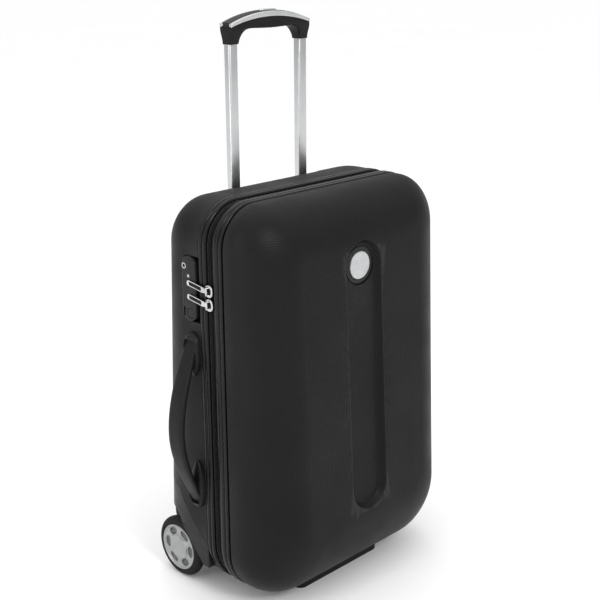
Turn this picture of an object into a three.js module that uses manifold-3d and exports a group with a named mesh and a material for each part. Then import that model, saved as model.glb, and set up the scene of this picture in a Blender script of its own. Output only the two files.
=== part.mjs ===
// Hard-shell two-wheel pilot case with a telescopic trolley handle.
//
// Millimetres, +Z up. The front shell faces -Y, the trolley handle and wheels are at +Y, and the lock and
// the carry handle are on the -X side. While it is built, x = 0 is the middle of the case, y = 0 is the
// front face of the front rim and z = 0 is the floor. The last lines move the origin to the bottom centre
// of the whole object.

import * as THREE from 'three';
import { mergeVertices } from 'three/addons/utils/BufferGeometryUtils.js';
import Module from 'manifold-3d';

const wasm = await Module();
wasm.setup();

// ---------------------------------------------------------------- driving dimensions

const GAP = 0.3;
const WALL = 3;

const HALF_WIDTH = 180;
const CASE_BOTTOM = 12;
const CASE_TOP = 550;
const TOP_RADIUS = 54;
const BOTTOM_RADIUS = 74;
const CORNER_STEPS = 6;
const CORNER_TIGHTENING = 0.6;
const SMALLEST_CORNER = 6;

const FRONT_DOME = { lip: -2.5, depth: 79, edge: 68, power: 1.9, taper: 0.36, rise: 1.5 };
const REAR_DOME = { lip: 43.1, depth: 104, edge: 84, power: 2.7, taper: 0.32, rise: 1 };
const DOME_STEPS = 6;

const FRONT_RIM = { front: GAP, rear: 16.6 };
const REAR_RIM = { front: 29.6, rear: 42.8 };
const RIM_PROUD = 0.6;
const RIM_INNER = 9;
const ZIP_MIDDLE = 23.1;
const HINGE_X = 181;

const CHANNEL = { top: 490, bottom: 118, floorHalf: 27.5, faceHalf: 33, depth: 8 };
const BADGE_Z = 456;
const BADGE_SEAT_RADIUS = 26.5;
const BADGE_RADIUS = 18.5;
const BADGE_THICKNESS = 3;
const LINING_DROP = 15;
const LINING_THICKNESS = 2;

const WHEEL_Y = 119;
const WHEEL_RADIUS = 43.5;
const WHEEL_OUTER_X = 171;
const WHEEL_WIDTH = 16;
const HUB_RADIUS = 33;
const HUB_POCKET_DEPTH = 5;
const HUB_CAP = 2;
const AXLE_RADIUS = 4;
const BEARING_RADIUS = 9;
const RUNNING_CLEARANCE = 0.06;
const WHEEL_SEGMENTS = 32;
const AXLE_SEGMENTS = 20;
const HOUSING_INNER_X = 128;
const WELL_INNER_X = 152;
const WELL_TOP = 106;
const HOUSING_FOOT_Z = 40;

const TUBE_X = 63;
const TUBE_Y = 104;
const TUBE_WALL = 1.2;
const INNER_TUBE = [15, 12];
const MIDDLE_TUBE = [18, 15];
const SLEEVE = [21, 18];
const TUBE_TOP = 730;
const ROD_RADIUS = 2;
const POCKET_FLOOR = 524;
const POCKET_FRONT = 80;
const POCKET_HALF = 88;
const BEZEL_THICKNESS = 4;
const BEZEL_TOP = POCKET_FLOOR + GAP + BEZEL_THICKNESS;

const GRIP_HALF = 71.5;
const GRIP_TOP = 770;
const GRIP_END = 756.5;
const GRIP_DEPTH = 24;
const GRIP_CAP = 3;
const GRIP_STRIP = { drop: 1.5, height: 5, depth: 4.5 };
const BUTTON_TRAVEL = 3.5;
const BUTTON_X = 3;
const BUTTON_PROUD = 1.2;

const LOCK = { y: 61, z: 438, width: 26, height: 86, face: 182.3, back: 173.6 };
const LOCK_CLEARANCE = 0.6;
const RECESS_FLOOR = 172.4;
const RECESS_MOUTH_FLOOR = 166;
const KEY = { y: 69, z: 467, radius: 4 };
const RELEASE = { y: 58.5, z: 406, width: 12, height: 13 };
const SLIDER_Z = [442, 424];
const PULL_THICKNESS = 2;
const PULL_FACE = 185;
const PULL_TILT = 8 * Math.PI / 180;

const HANDLE_Y = 57.5;
const HANDLE_TOP = 372;
const HANDLE_BOTTOM = 142;
const HANDLE_PEAK = 248;
const HANDLE_BOW = 33;

// ---------------------------------------------------------------- materials

function material(color, roughness, metalness) {
  return new THREE.MeshStandardMaterial({ color, roughness, metalness });
}

const SHELL_BLACK = material(0x323234, 0.55, 0);
const RIM_BLACK = material(0x3c3c3f, 0.35, 0);
const TRIM_BLACK = material(0x222224, 0.5, 0);
const TAPE_BLACK = material(0x161618, 0.9, 0);
const LINING_GREY = material(0x3a3d42, 0.9, 0);
const STRAP_GREY = material(0x2b2d30, 0.9, 0);
const RUBBER_BLACK = material(0x262626, 0.8, 0);
const SATIN_ALUMINIUM = material(0xc9cbce, 0.3, 1);
const SILVER_PLASTIC = material(0xb9bbbf, 0.35, 0.4);
const CHROME = material(0xdfe1e4, 0.1, 1);
const STEEL = material(0x9b9da0, 0.35, 1);

// ---------------------------------------------------------------- solids from geometry and back

function solid(geometry) {
  const bare = geometry.clone();
  bare.deleteAttribute('normal');
  bare.deleteAttribute('uv');
  const merged = mergeVertices(bare, 1e-4);
  const mesh = new wasm.Mesh({
    numProp: 3,
    vertProperties: new Float32Array(merged.attributes.position.array),
    triVerts: new Uint32Array(merged.index.array),
  });
  return new wasm.Manifold(mesh);
}

function geometryOf(body) {
  const mesh = body.getMesh();
  const geometry = new THREE.BufferGeometry();
  geometry.setAttribute('position', new THREE.BufferAttribute(new Float32Array(mesh.vertProperties), 3));
  geometry.setIndex(new THREE.BufferAttribute(new Uint32Array(mesh.triVerts), 1));
  return geometry;
}

function cut(body, ...tools) {
  return tools.reduce((rest, tool) => rest.subtract(solid(tool)), body);
}

// Cutting can leave loose slivers, so this keeps the main body.
function largestBody(body) {
  return body.decompose().sort((one, other) => other.volume() - one.volume())[0];
}

const assembly = new THREE.Group();

function add(name, shape, look) {
  const geometry = shape instanceof THREE.BufferGeometry ? shape : geometryOf(shape);
  const mesh = new THREE.Mesh(geometry, look);
  mesh.name = name;
  assembly.add(mesh);
}

// ---------------------------------------------------------------- shapes

function box(xs, ys, zs) {
  const geometry = new THREE.BoxGeometry(xs[1] - xs[0], ys[1] - ys[0], zs[1] - zs[0]);
  return geometry.translate((xs[0] + xs[1]) / 2, (ys[0] + ys[1]) / 2, (zs[0] + zs[1]) / 2);
}

function roundedRect(width, height, radius, cornerSteps = 3) {
  const shape = new THREE.Shape();
  const x = width / 2 - radius;
  const y = height / 2 - radius;
  shape.absarc(x, y, radius, 0, Math.PI / 2);
  shape.absarc(-x, y, radius, Math.PI / 2, Math.PI);
  shape.absarc(-x, -y, radius, Math.PI, Math.PI * 1.5);
  shape.absarc(x, -y, radius, Math.PI * 1.5, Math.PI * 2);
  return new THREE.Shape(shape.getPoints(cornerSteps));
}

function polygon(points) {
  return new THREE.Shape(points.map(([u, v]) => new THREE.Vector2(u, v)));
}

// A shape drawn in (x, y), standing from z0 to z1.
function standing(shape, z0, z1, bevel = 0) {
  const geometry = new THREE.ExtrudeGeometry(shape, {
    depth: z1 - z0 - 2 * bevel,
    steps: 1,
    curveSegments: 8,
    bevelEnabled: bevel > 0,
    bevelThickness: bevel,
    bevelSize: bevel,
    bevelOffset: -bevel,
    bevelSegments: 1,
  });
  return geometry.translate(0, 0, z0 + bevel);
}

// A shape drawn in (y, z), running from x0 to x1.
function acrossX(shape, x0, x1, bevel = 0) {
  const turn = new THREE.Matrix4().makeBasis(
    new THREE.Vector3(0, 1, 0),
    new THREE.Vector3(0, 0, 1),
    new THREE.Vector3(1, 0, 0),
  );
  return standing(shape, x0, x1, bevel).applyMatrix4(turn);
}

// A shape drawn in (x, z), running from y0 to y1.
function alongY(shape, y0, y1, bevel = 0) {
  const turn = new THREE.Matrix4().makeBasis(
    new THREE.Vector3(1, 0, 0),
    new THREE.Vector3(0, 0, 1),
    new THREE.Vector3(0, -1, 0),
  );
  return standing(shape, -y1, -y0, bevel).applyMatrix4(turn);
}

// A solid turned about the X axis through (y, z), from [x, radius] points.
function turnedAboutX(profile, y, z, segments = 32) {
  const points = profile.map(([x, radius]) => new THREE.Vector2(radius, x));
  const geometry = new THREE.LatheGeometry(points, segments);
  geometry.rotateZ(-Math.PI / 2);
  return geometry.translate(0, y, z);
}

function cylinderX(radius, x0, x1, y, z, segments = 24) {
  const geometry = new THREE.CylinderGeometry(radius, radius, x1 - x0, segments);
  geometry.rotateZ(-Math.PI / 2);
  return geometry.translate((x0 + x1) / 2, y, z);
}

function cylinderY(radius, y0, y1, x, z, segments = 24) {
  const geometry = new THREE.CylinderGeometry(radius, radius, y1 - y0, segments);
  return geometry.translate(x, (y0 + y1) / 2, z);
}

function cylinderZ(radius, z0, z1, x, y, segments = 16) {
  const geometry = new THREE.CylinderGeometry(radius, radius, z1 - z0, segments);
  geometry.rotateX(Math.PI / 2);
  return geometry.translate(x, y, (z0 + z1) / 2);
}

// The outline of the case seen from the front, moved inwards by inset, as [x, z] points. The bottom moves
// up by rise times as much, since the underside of the front half slopes up to its face.
function caseOutline(inset, rise = 1) {
  const corners = [
    [1, 1, TOP_RADIUS],
    [-1, 1, TOP_RADIUS],
    [-1, -1, BOTTOM_RADIUS],
    [1, -1, BOTTOM_RADIUS],
  ];
  const points = [];
  corners.forEach(([sideX, sideZ, fullRadius], quarter) => {
    const radius = Math.max(fullRadius - CORNER_TIGHTENING * inset, SMALLEST_CORNER);
    const centreX = sideX * (HALF_WIDTH - inset - radius);
    const centreZ = sideZ > 0 ? CASE_TOP - inset - radius : CASE_BOTTOM + rise * inset + radius;
    for (let step = 0; step <= CORNER_STEPS; step += 1) {
      const angle = (quarter + step / CORNER_STEPS) * Math.PI / 2;
      points.push([centreX + radius * Math.cos(angle), centreZ + radius * Math.sin(angle)]);
    }
  });
  return points;
}

function ring(inset, y, rise = 1) {
  return caseOutline(inset, rise).map(([x, z]) => new THREE.Vector3(x, y, z));
}

// Skins a list of rings of equally many points. Closed rings make a hoop; otherwise the first and last
// rings are capped by a fan to their centre.
function skin(rings, closed = false) {
  const count = rings[0].length;
  const positions = rings.flat().flatMap((point) => [point.x, point.y, point.z]);
  const index = [];
  const bands = closed ? rings.length : rings.length - 1;
  for (let band = 0; band < bands; band += 1) {
    const next = (band + 1) % rings.length;
    for (let i = 0; i < count; i += 1) {
      const j = (i + 1) % count;
      const a = band * count + i;
      const b = band * count + j;
      const c = next * count + j;
      const d = next * count + i;
      index.push(a, b, c, a, c, d);
    }
  }
  if (!closed) {
    addCap(rings[0], 0, positions, index, true);
    addCap(rings[rings.length - 1], (rings.length - 1) * count, positions, index, false);
  }
  const geometry = new THREE.BufferGeometry();
  geometry.setAttribute('position', new THREE.Float32BufferAttribute(positions, 3));
  geometry.setIndex(index);
  return facingOut(geometry);
}

function addCap(points, first, positions, index, reversed) {
  const centre = new THREE.Vector3();
  points.forEach((point) => centre.addScaledVector(point, 1 / points.length));
  const hub = positions.length / 3;
  positions.push(centre.x, centre.y, centre.z);
  for (let i = 0; i < points.length; i += 1) {
    const a = first + i;
    const b = first + ((i + 1) % points.length);
    index.push(...(reversed ? [hub, b, a] : [hub, a, b]));
  }
}

function facingOut(geometry) {
  const position = geometry.attributes.position;
  const index = geometry.index.array;
  const [a, b, c] = [new THREE.Vector3(), new THREE.Vector3(), new THREE.Vector3()];
  let volume = 0;
  for (let i = 0; i < index.length; i += 3) {
    a.fromBufferAttribute(position, index[i]);
    b.fromBufferAttribute(position, index[i + 1]);
    c.fromBufferAttribute(position, index[i + 2]);
    volume += a.dot(b.cross(c));
  }
  if (volume < 0) {
    for (let i = 0; i < index.length; i += 3) {
      const keep = index[i];
      index[i] = index[i + 1];
      index[i + 1] = keep;
    }
  }
  return geometry;
}

// A hoop around the case from a closed profile of [inset, y] points.
function hoop(profile) {
  return skin(profile.map(([inset, y]) => ring(inset, y)), true);
}

// One domed half of the case, solid: a straight lip, then a soft edge into a flat face. Its face leans a
// little, so that the case is deeper at the bottom. side is -1 for the front half and 1 for the rear.
function domeSolid(dome, side, wall, lipReach) {
  const straight = dome.depth - dome.edge;
  const rings = [ring(wall, dome.lip - side * lipReach, dome.rise)];
  for (let step = 0; step <= DOME_STEPS; step += 1) {
    const angle = (step / DOME_STEPS) * Math.PI / 2;
    const inset = wall + (dome.edge - wall) * (1 - Math.cos(angle) ** (2 / dome.power));
    const depth = straight + (dome.edge - wall) * Math.sin(angle) ** (2 / dome.power);
    const outline = caseOutline(inset, dome.rise);
    rings.push(outline.map(([x, z]) => new THREE.Vector3(x, leaning(dome, side, depth, z), z)));
  }
  return solid(skin(rings));
}

function mirrored(points) {
  return points.map(([x, y]) => [-x, y]).reverse();
}

// How far out a half reaches at a height, for a depth measured at the middle of the case.
function leaning(dome, side, depth, z) {
  const height = (z - CASE_BOTTOM) / (CASE_TOP - CASE_BOTTOM);
  return dome.lip + side * depth * (1 + dome.taper * (0.5 - height));
}

function frontFace(z) {
  return leaning(FRONT_DOME, -1, FRONT_DOME.depth, z);
}

// ---------------------------------------------------------------- wheel corner outlines

// The wheel housing meets the shell on a slanted seam; offset grows the corner for the shell's own wall.
function housingCorner(offset) {
  return polygon([
    [20, -20],
    [200, -20],
    [200, 146 + offset],
    [102 - offset, 146 + offset],
    [86 - offset, 124 + offset],
    [20, 54 + offset],
  ]);
}

function wheelOpening() {
  return polygon([
    [20, -20],
    [200, -20],
    [200, WELL_TOP],
    [111, WELL_TOP],
    [51, HOUSING_FOOT_Z],
    [20, HOUSING_FOOT_Z],
  ]);
}

// The foot of the housing stays flat and square outside the case's round bottom corner.
function housingBlock() {
  const front = REAR_DOME.lip + GAP;
  return polygon([
    [front, HOUSING_FOOT_Z - 5],
    [98, HOUSING_FOOT_Z - 5],
    [98, 92],
    [front, 92],
  ]);
}

function sidePair(shape, inner, outer) {
  return [acrossX(shape, inner, outer), acrossX(shape, -outer, -inner)];
}

// ---------------------------------------------------------------- front half of the case

function stadium(half) {
  const points = [];
  const steps = 8;
  const top = CHANNEL.top - CHANNEL.faceHalf;
  const bottom = CHANNEL.bottom + CHANNEL.faceHalf;
  for (const [centre, start] of [[top, 0], [bottom, Math.PI]]) {
    for (let step = 0; step <= steps; step += 1) {
      const angle = start + (step / steps) * Math.PI;
      points.push([half * Math.cos(angle), centre + half * Math.sin(angle)]);
    }
  }
  return points;
}

// The long shallow channel in the front face, cut square to the face's lean.
function channelTool(grow) {
  const slope = (CHANNEL.faceHalf - CHANNEL.floorHalf) / CHANNEL.depth;
  const reach = 12;
  return skin([
    behindFace(stadium(CHANNEL.floorHalf + grow), CHANNEL.depth + grow),
    behindFace(stadium(CHANNEL.faceHalf + slope * reach + grow), -reach),
  ]);
}

// An outline of [x, z] points laid parallel to the leaning front face, offset inwards from it.
function behindFace(points, offset) {
  return points.map(([x, z]) => new THREE.Vector3(x, frontFace(z) + offset, z));
}

function makeFrontShell() {
  const seatFloor = frontFace(BADGE_Z) + CHANNEL.depth + 1.5;
  const seat = (grow) => {
    return cylinderY(BADGE_SEAT_RADIUS + grow, seatFloor - 20, seatFloor + grow, 0, BADGE_Z, 32);
  };
  const outer = cut(domeSolid(FRONT_DOME, -1, 0, 0), channelTool(0), seat(0));
  const inner = cut(domeSolid(FRONT_DOME, -1, WALL, 1), channelTool(WALL), seat(WALL));
  add('front_shell', outer.subtract(inner), SHELL_BLACK);
  const badgeBack = seatFloor - GAP;
  const badge = cylinderY(BADGE_RADIUS, badgeBack - BADGE_THICKNESS, badgeBack, 0, BADGE_Z, 36);
  add('front_badge', badge, SILVER_PLASTIC);
}

function makeFrontRim() {
  const { front, rear } = FRONT_RIM;
  const tongue = FRONT_DOME.lip + GAP;
  add('front_rim', hoop([
    [RIM_INNER, tongue],
    [4, tongue],
    [4, front],
    [0.6, front],
    [-RIM_PROUD, front + 1.4],
    [-RIM_PROUD, front + 5],
    [0.5, front + 6.4],
    [-RIM_PROUD, front + 7.8],
    [-RIM_PROUD, rear - 1.8],
    [1, rear],
    [RIM_INNER, rear],
  ]), RIM_BLACK);
}

function makeRearRim() {
  const { front, rear } = REAR_RIM;
  add('rear_rim', hoop([
    [RIM_INNER, front],
    [1, front],
    [-RIM_PROUD, front + 1.6],
    [-RIM_PROUD, front + 5.2],
    [0.3, front + 6.4],
    [-RIM_PROUD, front + 7.6],
    [-RIM_PROUD, rear - 1.4],
    [0.4, rear],
    [RIM_INNER, rear],
  ]), RIM_BLACK);
}

// Each half of the zip: a woven tape all round and a row of teeth that stops short of the hinge side.
function makeZip(name, tapeStart, tapeEnd, teethStart, teethEnd) {
  const tapeOuter = 3;
  const tapeInner = 6;
  const teethOuter = 2.2;
  const teethInner = 4.6;
  add(`${name}_zip_tape`, hoop([
    [tapeInner, tapeStart],
    [tapeOuter, tapeStart],
    [tapeOuter, tapeEnd],
    [tapeInner, tapeEnd],
  ]), TAPE_BLACK);
  const teeth = solid(hoop([
    [teethInner, teethStart],
    [teethOuter, teethStart],
    [teethOuter, teethEnd],
    [teethInner, teethEnd],
  ]));
  const hingeSide = box([HALF_WIDTH - 40, HALF_WIDTH + 10], [0, 50], [110, CASE_TOP - 75]);
  add(`${name}_zip_teeth`, cut(teeth, hingeSide), TRIM_BLACK);
}

function makeFoot() {
  const outline = roundedRect(176, 24, 11, 5);
  const block = solid(standing(outline, 0, 26, 1.5).translate(0, -27, 0));
  const clear = domeSolid(FRONT_DOME, -1, -GAP, 0);
  add('front_foot', block.subtract(clear), RUBBER_BLACK);
}

function panelOutline(halfWidth, bottom, top, notchHalf, notchTop) {
  return polygon([
    [-notchHalf, bottom],
    [notchHalf, bottom],
    [notchHalf, notchTop],
    [halfWidth, notchTop],
    [halfWidth, top - 24],
    [halfWidth - 24, top],
    [-halfWidth + 24, top],
    [-halfWidth, top - 24],
    [-halfWidth, notchTop],
    [-notchHalf, notchTop],
  ]);
}

function makeLinings() {
  const lidOutline = caseOutline(40, FRONT_DOME.rise);
  const lidLining = skin([
    behindFace(lidOutline, LINING_DROP),
    behindFace(lidOutline, LINING_DROP + LINING_THICKNESS),
  ]);
  add('lid_lining', lidLining, LINING_GREY);
  add('rear_lining', alongY(panelOutline(166, 34, 512, 118, 136), 84, 84 + LINING_THICKNESS), LINING_GREY);
  for (const [name, z] of [['upper', 400], ['lower', 190]]) {
    add(`packing_strap_${name}`, box([-156, 156], [81.7, 83.5], [z - 12, z + 12]), STRAP_GREY);
    const buckle = alongY(roundedRect(52, 34, 7), 76, 81.4);
    add(`strap_buckle_${name}`, buckle.translate(0, 0, z), TRIM_BLACK);
  }
  const gusset = box([HALF_WIDTH - 10.8, HALF_WIDTH - 9.4], [17.2, 29], [92, CASE_TOP - 56]);
  add('hinge_gusset', gusset, TAPE_BLACK);
}

// ---------------------------------------------------------------- rear half of the case

function tubeShape(size, grow = 0) {
  return roundedRect(size[0] + 2 * grow, size[1] + 2 * grow, 3 + grow);
}

function tube(size, z0, z1, x) {
  const outer = solid(standing(tubeShape(size), z0, z1));
  return cut(outer, standing(tubeShape(size, -TUBE_WALL), z0 - 1, z1 + 1)).translate([x, TUBE_Y, 0]);
}

function pocketTool(grow) {
  const outline = roundedRect(2 * (POCKET_HALF + grow), 300 + 2 * grow, 14 + grow, 4);
  const back = 300 / 2 + POCKET_FRONT;
  return standing(outline, POCKET_FLOOR - grow, CASE_TOP + 40).translate(0, back, 0);
}

function lockRecess(grow) {
  const height = LOCK.height + 2 * (LOCK_CLEARANCE + grow);
  const width = LOCK.width + 2 * (LOCK_CLEARANCE + grow);
  const outline = roundedRect(width, height, width / 2 - 0.5, 6);
  const shape = acrossX(outline, -HALF_WIDTH - 20, -RECESS_FLOOR + grow);
  return shape.translate(0, LOCK.y, LOCK.z);
}

// The recess runs out to the rim on the zip's side, so that the pulls can reach the lock.
function recessMouth(grow) {
  const outer = -HALF_WIDTH - 20;
  const inner = -RECESS_MOUTH_FLOOR + grow;
  const half = LOCK.height / 2 - 1 + grow;
  const rear = LOCK.y - LOCK.width / 2 + grow;
  const shallow = box([outer, -RECESS_FLOOR + grow], [rear - 1, LOCK.y], [LOCK.z - half, LOCK.z + half]);
  const deep = box([outer, inner], [REAR_DOME.lip - 3, rear], [LOCK.z - half, LOCK.z + half]);
  return geometryOf(solid(shallow).add(solid(deep)));
}

function makeRearShell() {
  const corners = sidePair(housingCorner(0), HOUSING_INNER_X - GAP, 220);
  const cornerWalls = sidePair(housingCorner(WALL), HOUSING_INNER_X - GAP - WALL, 220);
  const sleeveHoles = [-TUBE_X, TUBE_X].map((x) => {
    return standing(tubeShape(SLEEVE, GAP), POCKET_FLOOR - 10, POCKET_FLOOR + 10).translate(x, TUBE_Y, 0);
  });
  const outer = cut(
    domeSolid(REAR_DOME, 1, 0, 0),
    ...corners,
    pocketTool(0),
    lockRecess(0),
    recessMouth(0),
  );
  const inner = cut(
    domeSolid(REAR_DOME, 1, WALL, 1),
    ...cornerWalls,
    pocketTool(WALL),
    lockRecess(WALL),
    recessMouth(WALL),
  );
  add('rear_shell', cut(outer.subtract(inner), ...sleeveHoles), SHELL_BLACK);
}

function makeWheelHousing(name, side) {
  const [blockRight, blockLeft] = sidePair(housingBlock(), HOUSING_INNER_X, HALF_WIDTH - 0.8);
  const block = solid(side > 0 ? blockRight : blockLeft);
  const solidCase = domeSolid(REAR_DOME, 1, 0, 0).add(block);
  const [right, left] = sidePair(housingCorner(-GAP), HOUSING_INNER_X, 220);
  const corner = solid(side > 0 ? right : left);
  const [openRight, openLeft] = sidePair(wheelOpening(), WELL_INNER_X, 220);
  const opening = side > 0 ? openRight : openLeft;
  const axleEnd = HOUSING_INNER_X + 3;
  const boreEnds = side > 0 ? [axleEnd, 200] : [-200, -axleEnd];
  const bore = cylinderX(AXLE_RADIUS + GAP, ...boreEnds, WHEEL_Y, WHEEL_RADIUS);
  const housing = cut(solidCase.intersect(corner), opening, bore);
  add(`wheel_housing_${name}`, housing, TRIM_BLACK);
}

// Wheels are drawn for the +X side: x is measured from the middle outwards.
function makeWheel(name, side) {
  const outer = WHEEL_OUTER_X;
  const inner = outer - WHEEL_WIDTH;
  const place = (profile, segments) => {
    const pieces = profile.map(([x, radius]) => [side * x, radius]);
    return turnedAboutX(side > 0 ? pieces : pieces.reverse(), WHEEL_Y, WHEEL_RADIUS, segments);
  };
  const seat = HUB_RADIUS + GAP;
  add(`tyre_${name}`, facingOutMerged(place([
    [inner + 1, seat],
    [inner + 1, WHEEL_RADIUS - 5],
    [inner + 3, WHEEL_RADIUS - 1],
    [inner + 7, WHEEL_RADIUS],
    [outer - 7, WHEEL_RADIUS],
    [outer - 3, WHEEL_RADIUS - 1],
    [outer - 0.5, WHEEL_RADIUS - 5],
    [outer - 0.5, seat],
    [inner + 1, seat],
  ], WHEEL_SEGMENTS)), RUBBER_BLACK);
  const bore = BEARING_RADIUS + GAP;
  const web = outer - 7;
  const face = outer + 0.6;
  const hub = solid(facingOutMerged(place([
    [inner + 2, bore],
    [inner + 2, bore + 3],
    [web, bore + 3],
    [web, HUB_RADIUS - 3],
    [inner + 2, HUB_RADIUS - 3],
    [inner + 2, HUB_RADIUS],
    [outer, HUB_RADIUS],
    [face, HUB_RADIUS - 1.6],
    [outer - 1.6, HUB_RADIUS - 3.2],
    [outer - 1.6, HUB_RADIUS - 13],
    [face - 0.2, HUB_RADIUS - 15.5],
    [face, 0],
    [face - HUB_CAP, 0],
    [face - HUB_CAP, bore],
    [inner + 2, bore],
  ], WHEEL_SEGMENTS)));
  const pockets = [];
  const pocketShape = roundedRect(15, 9.6, 4.7, 2);
  const pocketEnds = side > 0 ? [outer - HUB_POCKET_DEPTH, 220] : [-220, HUB_POCKET_DEPTH - outer];
  for (let pocket = 0; pocket < 6; pocket += 1) {
    const slot = acrossX(pocketShape, ...pocketEnds);
    slot.translate(0, 0, HUB_RADIUS - 9.6);
    slot.rotateX((pocket + 0.5) * Math.PI / 3);
    pockets.push(slot.translate(0, WHEEL_Y, WHEEL_RADIUS));
  }
  add(`wheel_hub_${name}`, cut(hub, ...pockets), SILVER_PLASTIC);
  add(`wheel_bearing_${name}`, facingOutMerged(place([
    [inner + 2.4, AXLE_RADIUS + RUNNING_CLEARANCE],
    [inner + 2.4, BEARING_RADIUS],
    [outer - 5, BEARING_RADIUS],
    [outer - 5, AXLE_RADIUS + RUNNING_CLEARANCE],
    [inner + 2.4, AXLE_RADIUS + RUNNING_CLEARANCE],
  ], AXLE_SEGMENTS)), STEEL);
  add(`wheel_axle_${name}`, facingOutMerged(place([
    [HOUSING_INNER_X + 3.4, 0],
    [HOUSING_INNER_X + 3.4, AXLE_RADIUS],
    [outer - 4.6, AXLE_RADIUS],
    [outer - 4.6, BEARING_RADIUS - 0.6],
    [outer - 2.6, BEARING_RADIUS - 0.6],
    [outer - 1.8, BEARING_RADIUS - 2],
    [outer - 1.8, 0],
  ], AXLE_SEGMENTS)), STEEL);
}

function facingOutMerged(geometry) {
  const bare = geometry.clone();
  bare.deleteAttribute('normal');
  bare.deleteAttribute('uv');
  return facingOut(mergeVertices(bare, 1e-4));
}

// ---------------------------------------------------------------- telescopic handle

function makeTrolley() {
  const bezelOutline = roundedRect(2 * POCKET_HALF - 6, 46, 9, 4);
  const plate = solid(standing(bezelOutline, POCKET_FLOOR + GAP, BEZEL_TOP).translate(0, TUBE_Y + 2, 0));
  const bezel = plate.intersect(domeSolid(REAR_DOME, 1, 0, 0));
  const holes = [-TUBE_X, TUBE_X].map((x) => {
    return standing(tubeShape(MIDDLE_TUBE, GAP), POCKET_FLOOR - 5, BEZEL_TOP + 5).translate(x, TUBE_Y, 0);
  });
  add('handle_bezel', cut(bezel, ...holes), TRIM_BLACK);
  for (const [name, x] of [['left', -TUBE_X], ['right', TUBE_X]]) {
    add(`guide_sleeve_${name}`, tube(SLEEVE, 45, POCKET_FLOOR, x), STEEL);
    add(`middle_tube_${name}`, tube(MIDDLE_TUBE, 215, BEZEL_TOP, x), SATIN_ALUMINIUM);
    add(`inner_tube_${name}`, tube(INNER_TUBE, 462, TUBE_TOP + 12, x), SATIN_ALUMINIUM);
    const block = standing(tubeShape(INNER_TUBE, -TUBE_WALL - GAP), 462, 474);
    add(`stage_lock_${name}`, block.translate(x, TUBE_Y, 0), TRIM_BLACK);
    const rodTop = barBottomAt(TUBE_X + ROD_RADIUS) - GAP;
    const rod = cylinderZ(ROD_RADIUS, 478.5, rodTop, x, TUBE_Y, 12);
    add(`release_rod_${name}`, rod, STEEL);
  }
  for (const [name, z] of [['upper', 420], ['lower', 120]]) {
    const rear = TUBE_Y + SLEEVE[1] / 2 + GAP;
    add(`sleeve_bracket_${name}`, box([-82, 82], [rear, rear + 3], [z - 12, z + 12]), STEEL);
  }
}

// The grip's top is one arc; every layer of the grip is a band of that arc.
const ARC_RADIUS = (GRIP_HALF ** 2 + (GRIP_TOP - GRIP_END) ** 2) / (2 * (GRIP_TOP - GRIP_END));

function arcHeight(x, drop) {
  return GRIP_TOP - ARC_RADIUS - drop + Math.sqrt(ARC_RADIUS ** 2 - x ** 2);
}

function arcPoints(half, drop, steps = 12) {
  const points = [];
  for (let step = 0; step <= steps; step += 1) {
    const x = half * (1 - 2 * step / steps);
    points.push([x, arcHeight(x, drop)]);
  }
  return points;
}

function arcBand(half, topDrop, bottomDrop, steps = 12) {
  return polygon([...arcPoints(half, topDrop, steps), ...arcPoints(half, bottomDrop, steps).reverse()]);
}

function barBottomAt(x) {
  return arcHeight(x, GRIP_CAP + 5);
}

function gripOutline() {
  const legInner = TUBE_X - INNER_TUBE[0] / 2 - 1;
  const legOuter = TUBE_X + INNER_TUBE[0] / 2 + 1;
  const archTop = 748.5;
  const right = [
    [legOuter, TUBE_TOP],
    [GRIP_HALF, GRIP_END - GRIP_CAP - 2],
  ];
  const underside = [
    [-legInner, TUBE_TOP],
    [-legInner + 1, TUBE_TOP + 8],
    [-legInner + 5, TUBE_TOP + 14],
    [-legInner + 14, archTop],
    [0, archTop - 1.5],
    [legInner - 14, archTop],
    [legInner - 5, TUBE_TOP + 14],
    [legInner - 1, TUBE_TOP + 8],
    [legInner, TUBE_TOP],
  ];
  return polygon([...right, ...arcPoints(GRIP_HALF - 0.5, GRIP_CAP), ...mirrored(right), ...underside]);
}

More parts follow.
